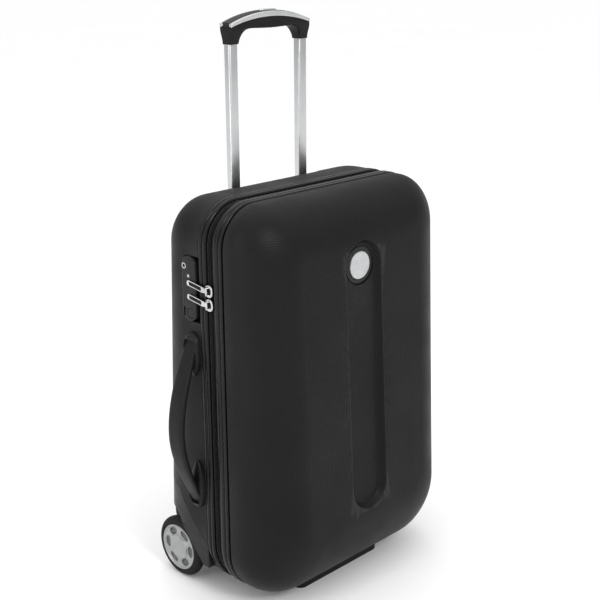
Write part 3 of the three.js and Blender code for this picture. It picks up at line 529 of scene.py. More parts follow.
def make_rubber_look(name, level, rough, grain, depth, dust):
    stops = [(0.15, level * 0.75), (0.45, level), (0.95, level * 2.4, -0.03)]
    return layered(name, [(16, 6, 0.6)], stops, (22, 4, rough - 0.05, rough + 0.1), (grain, 3, depth, 1.0),
                   edge=dust, bevel=0.4, specular=0.16)


def make_silver_look(name, low, high):
    return layered(name, [(0.5, 1, 0.3), (14, 4, 0.5)], [(0.2, low, 0.01), (0.65, high, 0.01)],
                   (9, 4, 0.30, 0.44), (0.5, 1, 0.008, 0.6), metallic=0.55, specular=0.4, coat=0.15)


def make_metal_look(name, low, high, rough, grain):
    return layered(name, [(grain * 4, 5, 1.0)], [(0.3, low), (0.7, high)],
                   (grain, 4, rough * 0.7, rough * 1.4), (grain * 0.3, 3, 0.008, 0.5), metallic=1.0)


SHELL = make_shell_look()
RIM = layered("rim_black_satin", [(70, 3, 0.5)], [(0.15, 0.005), (0.4, 0.008), (0.9, 0.032)],
              (18, 5, 0.20, 0.30), (1.4, 2, 0.02, 0.5), edge=0.3, specular=0.2)
TRIM = make_trim_look("trim_black_moulded", 0.008, 0.42)
LOCK_TRIM = make_trim_look("lock_black_satin", 0.014, 0.38)
TEETH = make_trim_look("zip_teeth_nylon", 0.005, 0.30)
TAPE = make_cloth_look("zip_tape_woven", 0.003, 0.9, 0.06, 0.0)
LINING = make_cloth_look("lining_polyester", 0.045, 0.7, 0.03, 0.5, 0.05)
WEBBING = make_cloth_look("strap_webbing", 0.016, 1.6, 0.18, 0.3)
STITCH = make_cloth_look("stitching_thread", 0.03, 0.5, 0.04, 0.3)
SOFT_RUBBER = make_rubber_look("handle_soft_rubber", 0.008, 0.46, 0.9, 0.03, 0.25)
TYRE = make_rubber_look("tyre_rubber", 0.009, 0.62, 1.3, 0.06, 0.5)
BRUSHED = (0.35, 0.35, 60)
ALUMINIUM = layered("aluminium_brushed", [(BRUSHED, 2, 0.4), (40, 3, 0.4)],
                    [(0.2, 0.55, 0.01), (0.6, 0.68, 0.01)], (BRUSHED, 2, 0.26, 0.40),
                    (BRUSHED, 2, 0.006, 0.6), metallic=1.0)
SILVER = make_silver_look("silver_metallic_paint", 0.42, 0.56)
HUB_SILVER = make_silver_look("hub_silver_paint", 0.27, 0.38)
# A darker copy of the hub silver, laid on the pocket walls and floors as painted shade.
HUB_PAINTED_SHADE = make_silver_look("hub_pocket_painted_shade", 0.10, 0.16)
CHROME = make_metal_look("chrome_plated", 0.50, 0.62, 0.13, 6)
STEEL = make_metal_look("steel_zinc_plated", 0.38, 0.52, 0.42, 5)

# ---------------- front half

def front_face(z):
    return leaning(FRONT_DOME, -1, FRONT_DOME["depth"], z)


def channel_tool(grow):
    """Cuts the long channel: round-ended, with a soft mouth, square to the leaning face."""
    turn = np.linspace(0, pi, 33)
    rings = []
    for half, drop in CHANNEL_PROFILE:
        x = (half + grow) * np.cos(turn)
        rise = (half + grow) * np.sin(turn)
        x, z = np.hstack([(x, CHANNEL_TOP + rise), (-x, CHANNEL_BOTTOM - rise)])
        rings.append(np.column_stack([x, front_face(z) + drop + grow, z]))
    return loft(rings)


def make_front_half():
    shell = build("shell_front", dome_solid(FRONT_DOME, -1, 0))
    inside = build("inside", dome_solid(FRONT_DOME, -1, WALL, reach=2))
    boolean(inside, "DIFFERENCE", channel_tool(WALL))
    boolean(shell, "DIFFERENCE", channel_tool(0), inside)
    floor = front_face(BADGE[1]) + CHANNEL_PROFILE[-1][1]
    seat = floor + 1.5
    boolean(shell, "DIFFERENCE", slab(circle(26.5, BADGE), floor - 20, seat, "y", 0.5))
    steady_normals(piece(shell, SHELL, "front_lid", "front_shell"))

    plate = [(0.3, 0), (0.3, 24.6), (-0.9, 24.6), (-1.3, 24.2), (-1.4, 23.6), (-1.2, 19.6), (-0.9, 19.2),
             (-0.9, 0)]
    crown = [(-0.4, 0), (-0.4, 18.5), (-2.0, 18.5)]
    crown += [(-2.0 - 1.2 * sin(a), 17.3 + 1.2 * cos(a)) for a in np.linspace(0.3, 1.4, 4)]
    crown += [(-3.2 - 0.5 * (1 - (r / 17.0) ** 2), r) for r in (16.5, 13, 9, 5, 0)]
    plate = turned(np.add(plate, (seat, 0)), BADGE, closed=False, axis="y")
    crown = turned(np.add(crown, (seat, 0)), BADGE, closed=False, axis="y")
    piece(build("badge_plate", plate), LOCK_TRIM, "front_lid")
    piece(build("badge_plain", crown), SILVER, "front_lid", "front_badge")

    profile = [(9, -2.2), (4, -2.2), (4, 0.3), (0.9, 0.3), (-0.6, 1.3), (-0.9, 3.4), (-0.6, 5.4), (1.9, 6.6),
               (-0.5, 7.8), (-0.9, 10.6), (-0.7, 14.4), (1.0, 16.6), (9, 16.6)]
    radii = [0.5, 0.5, 0.4, 0.8, 1.4, 2.0, 1.4, 0.9, 1.4, 2.4, 2.4, 0.9, 0.5]
    piece(build("rim_front", hoop(fillet(profile, radii))), RIM, "front_lid", "front_rim", sharp=60)

    tape = hoop(fillet([(6, 16.9), (3, 16.9), (3.4, 19), (3, 21.2), (6, 21.2)], 0.5, 3))
    piece(build("zip_tape_front", tape), TAPE, "front_lid", "front_zip_tape")

    block = slab(oblong(162, 24, 11, (0, -22), steps=12), 0, 26, "z", 1.6)
    foot = boolean(build("foot", block), "DIFFERENCE", dome_solid(FRONT_DOME, -1, -GAP))
    piece(foot, SOFT_RUBBER, "front_lid", "front_foot")


# ---------------- zip teeth and stitching

def off_hinge_side(x, z):
    return not (x > HALF_WIDTH - 40 and HINGE_SIDE[0] < z < HINGE_SIDE[1])


def make_zip_rows():
    places = along_outline(4.0, 1.35, off_hinge_side)
    rows = (("front", places[::2], (21.3, 23.5), "front_lid"),
            ("rear", places[1::2], (22.7, 24.9), "rear_case"))
    for name, spots, span, body in rows:
        teeth = build(f"zip_teeth_{name}", *row_of_blocks(spots, 0.5, span, -0.6, 1.7, 0.35))
        piece(teeth, TEETH, body, f"{name}_zip_teeth")
    stitches = along_outline(3.0, 3.2)
    for name, span, body in (("front", (17.7, 18.1), "front_lid"), ("rear", (28.1, 28.5), "rear_case")):
        row = build(f"zip_stitches_{name}", *row_of_blocks(stitches, 1.15, span, -0.5, 0.16, 0.12))
        piece(row, STITCH, body, slot="zip_tape")


# ---------------- rear half

def corner_shape(grow):
    """The wheel corner in (y, z); grow moves its seam into the case."""
    points = [(20, -20), (200, -20), (200, 146 + grow), (102 - grow, 146 + grow), (86 - grow, 124 + grow),
              (20, 54 + grow)]
    return fillet(points, [1, 1, 1, 4, 14, 1], 6)


def outwards(shape, side, inner, outer, edge=0.6):
    """A slab on one side of the case, from inner to outer off its middle."""
    return slab(shape, *sorted((side * inner, side * outer)), "x", edge)


def lock_recess(grow):
    half = 43.6 + grow
    rear = LOCK_Y + 13.6 + grow
    shape = fillet([(36, LOCK_Z - half), (rear, LOCK_Z - half), (rear, LOCK_Z + half), (36, LOCK_Z + half)],
                   [1.5, 13.4, 13.4, 1.5], 12)
    trench = oblong(13 + 2 * grow, 84 + 2 * grow, 1.5 + grow, (LOCK_Y - 19.5, LOCK_Z))
    return [slab(shape, -220, -RECESS_FLOOR + grow, "x", 0.8),
            slab(trench, -215, -TRENCH_FLOOR + grow, "x", 0.8)]


def pocket(grow):
    shape = oblong(2 * (88 + grow), 300 + 2 * grow, 14 + grow, (0, 230))
    return slab(shape, POCKET_FLOOR - grow, CASE_TOP + 60, "z", 3.0, 4)


def tube_outline(size, grow, x):
    return oblong(size[0] + 2 * grow, size[1] + 2 * grow, 3 + grow, (x, TUBE_Y), steps=6)


def tube_holes(size, low, high):
    return build("holes", *[slab(tube_outline(size, GAP, x), low, high, "z", 0.2) for x in (-TUBE_X, TUBE_X)])


def make_rear_shell():
    shell = build("shell_rear", dome_solid(REAR_DOME, 1, 0))
    inside = build("inside", dome_solid(REAR_DOME, 1, WALL, reach=2))
    for obj, grow in ((shell, 0), (inside, WALL)):
        corners = [outwards(corner_shape(grow), side, CORNER_INNER - grow, OUTSIDE) for side in (1, -1)]
        boolean(obj, "DIFFERENCE", build("corners", *corners), pocket(grow), *lock_recess(grow))
    boolean(shell, "DIFFERENCE", inside, tube_holes(OUTER_TUBE, 500, 560))
    piece(shell, SHELL, "rear_case", "rear_shell")

    profile = [(9, 29.6), (1.2, 29.6), (-0.6, 30.8), (-0.9, 33), (-0.6, 35), (1.8, 36.2), (-0.5, 37.4),
               (-0.9, 39.6), (-0.6, 41.8), (0.4, 42.8), (9, 42.8)]
    radii = [0.5, 0.8, 1.4, 2.0, 1.4, 0.8, 1.4, 2.0, 1.2, 0.5, 0.5]
    piece(build("rim_rear", hoop(fillet(profile, radii))), RIM, "rear_case", "rear_rim", sharp=60)
    tape = hoop(fillet([(6, 25), (3, 25), (3.4, 27.2), (3, 29.3), (6, 29.3)], 0.5, 3))
    piece(build("zip_tape_rear", tape), TAPE, "rear_case", "rear_zip_tape")


# ---------------- wheels

def hub_pocket(turn, side):
    """Cuts one shallow oval pocket with a soft edge into the hub's face."""
    spin = np.array([[cos(turn), sin(turn)], [-sin(turn), cos(turn)]])
    rings = []
    for drop, grow in ((-3, 1.8), (1.2, 1.4), (1.6, 0.6), (2.2, 0.1), (4.0, -0.4), (4.7, -1.2), (5.0, -2.8)):
        oval = circle(1.0, segments=48) * [8.2 + grow, 5.0 + grow] + [0, 23.6]
        rings.append(placed(oval @ spin + AXLE, side * (WHEEL_X - drop), "x"))
    return loft(rings)


def make_wheel(name, side):
    body = f"wheel_{name}"
    housing = build(f"housing_{name}", dome_solid(REAR_DOME, 1, 0.15))
    foot = fillet([(43.5, 35), (98, 35), (98, 92), (43.5, 92)], 1.0, 4)
    foot = outwards(foot, side, HOUSING_INNER - 10, HALF_WIDTH - 0.8)
    boolean(housing, "UNION", foot)
    corner = outwards(corner_shape(-0.9), side, HOUSING_INNER + 0.2, OUTSIDE, 0.3)
    boolean(housing, "INTERSECT", corner)
    opening = [(20, -20), (200, -20), (200, WELL_TOP), (111, WELL_TOP), (54, HOUSING_FOOT),
               (20, HOUSING_FOOT)]
    opening = outwards(fillet(opening, [2, 2, 2, 4, 3, 2], 6), side, WELL_INNER, OUTSIDE, 0.8)
    bore = turned([(131, 0), (131, 4.3), (200, 4.3), (200, 0)], AXLE, side, False, 40)
    boolean(housing, "DIFFERENCE", opening, bore)
    piece(housing, TRIM, "rear_case", f"wheel_housing_{name}")

    low = HUB_RADIUS + GAP - WHEEL_RADIUS
    profile = [(-15, low), (-15, -5.5), (-13, -1.3), (-10.5, 0), (-9, 0), (-8.5, -0.6), (-8, 0), (-6, 0),
               (-2.8, -1.3), (-0.6, -5), (-0.3, -8.6), (-1.1, -9.4), (-0.8, low)]
    profile = np.add(profile, (WHEEL_X, WHEEL_RADIUS))
    radii = [0.3, 2.5, 3, 3, 0.3, 0.3, 0.3, 3, 3, 2.5, 0.8, 0.5, 0.3]
    tyre = turned(fillet(profile, radii), AXLE, side)
    piece(build(f"tyre_{name}_moulded", tyre), TYRE, body, f"tyre_{name}", sharp=45)

    edge = HUB_RADIUS
    hub = [(-1.4, 0), (-1.4, 9.3), (-14, 9.3), (-14, 12.3), (-7, 12.3), (-7, edge - 3), (-14, edge - 3),
           (-14, edge), (0, edge), (0.6, edge - 1.6), (-1.2, edge - 3.2), (-1.4, edge - 13.4),
           (0.3, edge - 15.8), (0.6, 11), (0.6, 0)]
    rounding = [0, 0.3, 0.3, 0.3, 0.3, 0.3, 0.3, 0.3, 0.6, 1.0, 1.4, 2.0, 2.4, 2.0, 0]
    hub = fillet(np.add(hub, (WHEEL_X, 0)), rounding, 4, closed=False)
    hub = turned(hub, AXLE, side, False)
    wheel = build(f"hub_{name}", hub)
    pockets = [hub_pocket(turn, side) for turn in (np.arange(6) + 0.5) * pi / 3]
    boolean(wheel, "DIFFERENCE", build("pockets", *pockets))
    piece(wheel, HUB_SILVER, body, f"wheel_hub_{name}", sharp=38)
    wheel.data.materials.append(HUB_PAINTED_SHADE)
    # Faces inside the hub's pockets take the darker silver: painted shade in the recesses.
    for face in wheel.data.polygons:
        centre = (np.array(face.center) - ORIGIN) / MM
        depth = WHEEL_X - side * centre[0]
        reach = hypot(*(centre[1:] - AXLE))
        if 2.4 < depth < 5.2 and 17 < reach < HUB_RADIUS - 3:
            face.material_index = 1


# ---------------- trolley handle

def make_trolley():
    plate = oblong(170, 46, 9, (0, TUBE_Y + 2))
    plate = build("bezel", slab(plate, POCKET_FLOOR + GAP, BEZEL_TOP, "z", 1.0, 4))
    boolean(plate, "INTERSECT", dome_solid(REAR_DOME, 1, 0.2))
    boolean(plate, "DIFFERENCE", tube_holes(MIDDLE_TUBE, 500, 560))
    piece(plate, TRIM, "rear_case", "handle_bezel")
    tubes = (("middle", MIDDLE_TUBE, 215, BEZEL_TOP, "handle_stage_one"),
             ("inner", INNER_TUBE, 462, TUBE_TOP + 12, "handle_stage_two"))
    for name, x in (("left", -TUBE_X), ("right", TUBE_X)):
        for stage, size, low, high, body in tubes:
            outer, inner = tube_outline(size, 0, x), tube_outline(size, -TUBE_WALL, x)
            tube = build(f"tube_{stage}_{name}", hollow_slab(outer, inner, low, high, "z", 0.25))
            piece(tube, ALUMINIUM, body, f"{stage}_tube_{name}")
        outer, inner = tube_outline(MIDDLE_TUBE, 0.6, x), tube_outline(INNER_TUBE, 0.2, x)
        collar = hollow_slab(outer, inner, BEZEL_TOP - 2, BEZEL_TOP + 1.1, "z", 0.5)
        piece(build(f"tube_collar_{name}", collar), TRIM, "handle_stage_one")


ARC = (GRIP_HALF ** 2 + (GRIP_TOP - GRIP_END) ** 2) / (2 * (GRIP_TOP - GRIP_END))


def arc_points(half, drop, steps=48, sag=0.0):
    """The grip's top arc from left to right, lowered by drop and by sag more in the middle."""
    x = np.linspace(-half, half, steps + 1)
    z = GRIP_TOP - ARC + np.sqrt(ARC ** 2 - x ** 2) - drop - sag * (1 - (x / half) ** 2)
    return np.column_stack([x, z])


def make_grip():
    front, rear = TUBE_Y - GRIP_DEPTH / 2, TUBE_Y + GRIP_DEPTH / 2
    leg_in, leg_out, foot = TUBE_X - 8, TUBE_X + 8, TUBE_TOP - 6
    inside = np.array([(leg_in, foot), (leg_in - 1.2, TUBE_TOP + 6), (leg_in - 5.5, TUBE_TOP + 15),
                       (leg_in - 15, 749.0)])
    underside = np.vstack([inside * [-1, 1], [(0, 747.2)], inside[::-1]])
    underside = fillet(underside, [1, 7, 9, 12, 20, 12, 9, 7, 1], 8, closed=False)
    arc = arc_points(GRIP_HALF - 1.6, GRIP_CAP)
    right = [(leg_out, foot), (leg_out, TUBE_TOP + 8), (GRIP_HALF, TUBE_TOP + 18),
             (GRIP_HALF - 0.2, GRIP_END - 6), arc[-1]]
    right = fillet(right, [1, 6, 5, 3, 1], 6, closed=False)
    left = right[::-1] * [-1, 1]
    points, faces = slab(np.vstack([underside, right, arc[::-1][1:-1], left]), front, rear, "y", 3.0, 6)
    share = np.clip((points[:, 2] - TUBE_TOP) / 20, 0, 1)
    narrow = 0.62 + 0.38 * share ** 2 * (3 - 2 * share)
    points[:, 1] = TUBE_Y + (points[:, 1] - TUBE_Y) * narrow
    grip = build("grip_handle", (points, faces))
    sockets = tube_holes(INNER_TUBE, TUBE_TOP - 9, TUBE_TOP + 12 + GAP)
    slot = slab(oblong(136, 9, 4, (0, TUBE_Y)), 752, 790, "z", 0.2)
    below = slab(oblong(200, 60, 5, (0, TUBE_Y)), TUBE_TOP - 20, TUBE_TOP, "z", 0.2)
    boolean(grip, "DIFFERENCE", below, sockets, slot)
    piece(grip, SOFT_RUBBER, "handle_stage_two", "grip_body", sharp=50)

    def band(half, top, bottom, sag=0.0):
        return np.vstack([arc_points(half, bottom, sag=sag), arc_points(half, top)[::-1]])

    for name, y0, y1 in (("front", front - 0.4, front + 6), ("rear", rear - 6, rear + 0.4)):
        strip = slab(band(GRIP_HALF - 0.8, 0.9, 5.6, sag=2.4), y0, y1, "y", 1.6, 6)
        strip = build(f"grip_strip_{name}", strip)
        piece(strip, SILVER, "handle_stage_two", f"grip_trim_{name}", sharp=50)
    cap = band(GRIP_HALF - 1.4, 0, GRIP_CAP + 1.2)
    cap = build("grip_top", slab(cap, front + 3.6, rear - 3.6, "y", 1.8, 5))
    boolean(cap, "DIFFERENCE", slab(oblong(28.8, 8.8, 4, (3, TUBE_Y)), 740, 790, "z", 0.2))
    piece(cap, TRIM, "handle_stage_two", "grip_cap", sharp=50)
    base = GRIP_TOP - GRIP_CAP - 1 + GAP
    button = slab(oblong(28, 8, 3.8, (3, TUBE_Y)), base, GRIP_TOP + 1.2, "z", 1.0, 5)
    piece(build("grip_push_button", button), CHROME, "handle_release", "grip_button")


# ---------------- lock, sliders and pulls

def make_lock():
    outline = oblong(26, 86, 12.6, (LOCK_Y, LOCK_Z), steps=14)
    housing = build("lock_plate", slab(outline, -LOCK_FACE, -LOCK_BACK, "x", 1.8, 5))
    well = [(190, 0), (190, 4.3), (LOCK_BACK + 3, 4.3), (LOCK_BACK + 3, 0)]
    well = turned(well, KEY, -1, False, 48)
    release = slab(oblong(12.6, 13.6, 4.3, RELEASE), -195, -LOCK_BACK - 1.5, "x", 0.3)
    notch = slab(oblong(3.2, 12, 1.5, (LOCK_Y + 9.2, RELEASE[1] + 1)), -195, -LOCK_FACE + 2.4, "x", 0.3)
    boolean(housing, "DIFFERENCE", well, release, notch)
    piece(housing, LOCK_TRIM, "rear_case", "lock_housing")
    dot = np.add([(-0.4, 0), (-0.4, 2.1), (0.1, 2.1), (0.35, 1.7), (0.45, 0)], (LOCK_FACE, 0))
    dot = turned(dot, (LOCK_Y, 455), -1, False, 40)
    piece(build("lock_indicator", dot), SILVER, "rear_case")

    face, back = LOCK_FACE + 0.2, LOCK_BACK + 3.3
    ring = fillet([(back, 2.5), (back, 4.0), (face, 4.0), (face, 2.5)], 0.35, 3)
    ring = build("key_ring", turned(ring, KEY, -1, True, 64))
    piece(ring, CHROME, "key_cylinder", "lock_key_cylinder")
    core = turned([(back, 0), (back, 2.45), (face - 0.8, 2.45), (face - 0.8, 0)], KEY, -1, False, 48)
    keyway = slab(oblong(1.1, 3.8, 0.45, KEY), -face - 5, -face + 3.5, "x", 0.1)
    core = boolean(build("key_core", core), "DIFFERENCE", keyway)
    piece(core, TRIM, "key_cylinder")
    button = slab(oblong(12, 13, 4, RELEASE), -LOCK_FACE + 0.3, -LOCK_BACK - 4.5, "x", 0.8, 4)
    piece(build("release_button", button), LOCK_TRIM, "lock_button", "lock_release_button")


def make_slider(name):
    z = SLIDER_Z[name]
    barrel_y, barrel_x = ZIP_Y + 2, -PULL_FACE + 1
    plate_face = barrel_x + 1.8
    outer, inner = oblong(14, 16, 6.4, (ZIP_Y, z)), oblong(7.6, 9.0, 3.4, (ZIP_Y, z))
    plate = hollow_slab(outer, inner, plate_face, -HALF_WIDTH - 0.9, "x", 0.6, 4)
    tip, root = barrel_x - 1.3, plate_face + 0.6
    ear = [(tip, barrel_y - 1.7), (tip, barrel_y + 1.7), (root, barrel_y + 3.2), (root, barrel_y - 3.2)]
    ear = fillet(ear, [1.5, 1.5, 0.4, 0.4], 6)
    ears = []
    for sign in (-1, 1):
        low, high = sorted((z + sign * 4, z + sign * 5.4))
        ears.append(slab(ear, low, high, "z", 0.25))
    piece(build(f"slider_{name}", plate, *ears), CHROME, f"{name}_slider", f"zip_slider_{name}")
    filling = slab(oblong(9, 10, 4, (ZIP_Y, z)), plate_face + 0.9, -HALF_WIDTH - 0.8, "x", 0.2)
    keel = slab(oblong(6, 12, 2, (ZIP_Y, z)), -HALF_WIDTH - 1.5, -HALF_WIDTH + 1.9, "x", 0.3)
    piece(build(f"slider_body_{name}", filling, keel), TRIM, f"{name}_slider")

    turn = np.array([[cos(PULL_TILT), sin(PULL_TILT)], [-sin(PULL_TILT), cos(PULL_TILT)]])
    middle = 3.6 + 16.5

    def tilted(length, width, radius, shift=1.0):
        return oblong(length, width, radius, (middle + shift, 0)) @ turn + [barrel_y, z]

    face = -PULL_FACE
    tab = hollow_slab(tilted(33, 7.4, 2.8, 0), tilted(24, 4.4, 1.6), face, face + 2, "x", 0.6, 4)
    neck = slab(oblong(5.6, 5.8, 1.2, (barrel_y + 2.4, z + 0.5)), face + 0.1, face + 1.9, "x", 0.4)
    barrel = slab(circle(1.5, (barrel_x, barrel_y), 32), z - 3.7, z + 3.7, "z", 0.2)
    piece(build(f"pull_{name}", tab, neck, barrel), CHROME, f"{name}_pull", f"zip_pull_{name}")
    filling = slab(tilted(23.6, 4.1, 1.4), face + 0.5, face + 1.5, "x", 0.2)
    ribs = [slab(tilted(0.8, 3.4, 0.35, 1 + step), face + 0.2, face + 1, "x", 0.1)
            for step in np.arange(-9, 10, 2.25)]
    filling = build(f"pull_filling_{name}", filling, *ribs)
    piece(filling, SOFT_RUBBER, f"{name}_pull", f"zip_pull_insert_{name}", slot="trim_black")


# ---------------- soft side handle

def handle_section(z, grow=0.0, travel=0.0, segments=36):
    """The side handle cut level with the floor: a rounded bar, thickest in the middle."""
    reach = HANDLE_TOP - HANDLE_PEAK if z > HANDLE_PEAK else HANDLE_PEAK - HANDLE_BOTTOM
    along = min(abs(z - HANDLE_PEAK) / reach, 1)
    bow = HANDLE_BOW * cos(along * pi / 2) ** 1.1
    half_width = 7 + 7 * sqrt(1 - along ** 3) + grow
    thickness = 4.5 + 4.5 * sqrt(1 - along ** 2)
    outer = -185.5 - bow - grow - travel
    inner = -185.5 - bow + thickness + grow
    angle = np.arange(segments) * 2 * pi / segments
    square = 0.62
    x = (outer + inner) / 2 + (inner - outer) / 2 * np.sign(np.cos(angle)) * np.abs(np.cos(angle)) ** square
    y = HANDLE_Y + half_width * np.sign(np.sin(angle)) * np.abs(np.sin(angle)) ** square
    return np.column_stack([x, y, np.full(segments, z)])


def handle_shape(grow=0.0, travel=0.0, steps=72):
    middle, half = (HANDLE_TOP + HANDLE_BOTTOM) / 2, (HANDLE_TOP - HANDLE_BOTTOM) / 2
    rings = []
    for t in np.linspace(0, pi, steps + 1):
        ring = handle_section(middle + half * cos(t), grow, travel)
        ring[:, 2] += grow * cos(t)
        rings.append(ring)
    return loft(rings)


def mount_shape(bulb, tail):
    """A boss on the case's side: a round bulb over the handle's end, drawn out to a low tail."""
    base_x = -HALF_WIDTH - 0.4
    widest = 0.33
    rings = []
    for t in np.linspace(0.0, 1.0, 49):
        t = 0.5 - 0.5 * cos(t * pi)
        if t < widest:
            swell = sqrt(max(1 - ((t - widest) / widest) ** 2, 0))
        else:
            swell = (1 - ((t - widest) / 0.67) ** 1.9) ** 0.75
        swell = max(swell, 0.02)
        width = 13.9 * swell
        height = (8.6 + 3.4 * max(1 - ((t - 0.3) / 0.33) ** 2, 0)) * swell ** 0.8
        angle = np.linspace(0, pi, 25)
        ring = np.column_stack([base_x - height * np.sin(angle) ** 0.85, HANDLE_Y + width * np.cos(angle),
                                np.full(25, bulb + (tail - bulb) * t)])
        rings.append(ring)
    return loft(rings)


def make_carry_handle():
    piece(build("side_handle_strap", handle_shape()), SOFT_RUBBER, "side_handle", "carry_handle", sharp=70)
    for name, bulb, tail in (("upper", 381, 320), ("lower", 133, 202)):
        mount = build(f"side_mount_{name}", mount_shape(bulb, tail))
        boolean(mount, "DIFFERENCE", handle_shape(0.6, 44))
        piece(mount, TRIM, "rear_case", f"handle_mount_{name}")


# ---------------- cloth inside

def border(grid):
    """The grid's outermost entries, once round."""
    return np.concatenate([grid[0], grid[1:, -1], grid[-1, -2::-1], grid[-2:0:-1, 0]])


def cloth(name, grid, thickness=0.5):
    """A sheet from a grid of points, with both faces and its edges closed."""
    rows, columns = grid.shape[:2]
    run = np.gradient(grid, axis=0).reshape(-1, 3)
    across = np.gradient(grid, axis=1).reshape(-1, 3)
    normal = unit(np.cross(run, across)).reshape(grid.shape)
    near, far = grid + normal * thickness / 2, grid - normal * thickness / 2
    points = np.vstack([near.reshape(-1, 3), far.reshape(-1, 3)])
    size = rows * columns
    ids = np.arange(size).reshape(rows, columns)
    faces = []
    quads = np.stack([ids[:-1, :-1], ids[:-1, 1:], ids[1:, 1:], ids[1:, :-1]], axis=-1)
    for quad in quads.reshape(-1, 4).tolist():
        faces += [quad, [size + i for i in reversed(quad)]]
    rim = border(ids).tolist()
    for one, two in zip(rim, rim[1:] + rim[:1]):
        faces.append((one, size + one, size + two, two))
    return build(name, (points, faces))


def panel_grid(bottom, top, widths, plane, crown, columns=41, rows=57):
    """An upright cloth panel, gently crowned; its width and depth follow the height."""
    u, v = np.meshgrid(np.linspace(-1, 1, columns), np.linspace(-1, 1, rows))
    z = (bottom + top) / 2 + (top - bottom) / 2 * v * np.sqrt(1 - 0.05 * u ** 8)
    x = np.interp(z, *widths) * u
    bulge = crown * (1 - u ** 4) * (1 - v ** 4)
    folds = 0.5 * np.sin(5 * u + 3 * v) * np.sin(7 * v - 2 * u) * (1 - u ** 6) * (1 - v ** 6)
    return np.stack([x, plane(z) + bulge + folds, z], axis=-1)


def box_of(node):
    """A CAD node's box in the case frame: ((x, x), (y, y), (z, z))."""
    low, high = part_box(node)
    low = (np.array(low) - ORIGIN) / MM
    high = (np.array(high) - ORIGIN) / MM
    return list(zip(low, high))


def grid_size(grid):
    """The cloth's width and length along its middle lines, in metres."""
    rows, columns = grid.shape[:2]
    across = np.linalg.norm(np.diff(grid[rows // 2], axis=0), axis=1).sum()
    along = np.linalg.norm(np.diff(grid[:, columns // 2], axis=0), axis=1).sum()
    return across * MM, along * MM


# Heights and half widths, narrower in the lid's round corners and between the wheels.
LID_WIDTHS = ([68, 75, 85, 100, 116, 480, 495, 505, 512], [112, 124, 133, 140, 143, 144, 143, 140, 133])
REAR_WIDTHS = ([34, 134, 142, 490, 512], [116, 116, 164, 164, 146])


def make_lining(name, node, body, span, widths, plane, crown):
    grid = panel_grid(*span, widths, plane, crown)
    panel = piece(cloth(name, grid), LINING, body, node, sharp=70)
    hem_path = border(grid)
    ahead = unit(np.roll(hem_path, -1, 0) - np.roll(hem_path, 1, 0))
    side = unit(np.cross(ahead, [0.0, 1.0, 0.0]))
    rings = []
    for angle in np.arange(10) * 2 * pi / 10:
        rings.append(hem_path + side * 1.6 * cos(angle) + [0, 1.1 * sin(angle), 0])
    hem = piece(build(f"{name}_piping", loft(rings, closed=True)), WEBBING, body, sharp=70, slot="lining")
    flat = grid_size(grid)


def make_strap(name):
    (x0, x1), (y0, y1), (z0, z1) = box_of(f"packing_strap_{name}")
    middle_y, middle_z = (y0 + y1) / 2, (z0 + z1) / 2
    u, v = np.meshgrid(np.linspace(-1, 1, 61), np.linspace(-1, 1, 9))
    x = (x0 + x1) / 2 + (x1 - x0) / 2 * u
    y = middle_y - 0.4 * np.cos(u * 9) * (1 - u ** 2) - 0.15 * v ** 2
    grid = np.stack([x, y, middle_z + (z1 - z0) / 2 * v], axis=-1)
    strap = cloth(f"strap_{name}", grid, 1.1)
    piece(strap, WEBBING, "rear_case", f"packing_strap_{name}", sharp=60)
    tacks = []
    for end in (-1, 1):
        for height in np.linspace(-9, 9, 9):
            spot = oblong(6, 0.5, 0.24, (end * (x1 - 7), middle_z + height), 2)
            tacks.append(slab(spot, middle_y - 1.0, middle_y + 0.6, "y", 0.1, 1))
    tacks = piece(build(f"strap_tacks_{name}", *tacks), STITCH, "rear_case", slot="strap")
    grid_size(grid)

    (bx0, bx1), (by0, by1), (bz0, bz1) = box_of(f"strap_buckle_{name}")
    across, height = bx1 - bx0, bz1 - bz0
    outer = oblong(across * 0.5, height, 5, (bx0 + across * 0.25, middle_z))
    inner = oblong(across * 0.18, height * 0.7, 2, (bx0 + across * 0.14, middle_z))
    half = hollow_slab(outer, inner, by0, by1, "y", 1.0, 4)
    prong = [(-1, -11), (10, -13), (22, -8), (24, -3), (24, 3), (22, 8), (10, 13), (-1, 11)]
    prong = fillet(prong, [2, 3, 3, 2, 2, 3, 3, 2], 4) + [bx0 + across * 0.5, middle_z]
    prong = slab(prong, by0 + 0.8, by1 - 0.6, "y", 0.8, 4)
    piece(build(f"buckle_{name}", half, prong), TRIM, "rear_case", f"strap_buckle_{name}")


def make_gusset():
    (_, x1), (y0, y1), (z0, z1) = box_of("hinge_gusset")
    t = np.linspace(0, 1, 25)
    fold_x = x1 - 9.0 * np.sin(t * pi) ** 1.5
    fold_y = y0 + (y1 - y0) * (t - 0.1 * np.sin(2 * pi * t))
    z = np.linspace(z0, z1, 41)
    grid = np.stack(np.broadcast_arrays(fold_x, fold_y, z[:, None]), axis=-1)
    sheet = cloth("gusset_cloth", grid)
    sheet.data.materials.append(TAPE)
    sheet.data.shade_smooth()
    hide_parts("hinge_gusset")
    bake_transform(sheet)
    grid_size(grid)


# ---------------- carried-over CAD nodes

def dress_cad_nodes():
    """The inner works and the axles stay as CAD nodes, in moulded plastic or zinc-plated steel."""
    for name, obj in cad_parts.items():
        plastic = name.startswith(("stage_lock", "release_bar"))
        obj.data.materials.clear()
        obj.data.materials.append(TRIM if plastic else STEEL)


# ---------------- camera, floor and light

CAMERA_PLACE = (-1057.85, -1008.44, 857.67)
CAMERA_YAW, CAMERA_PITCH, CAMERA_ROLL = -0.78781, 0.30677, -0.00675
CAMERA_LENS = 68.37


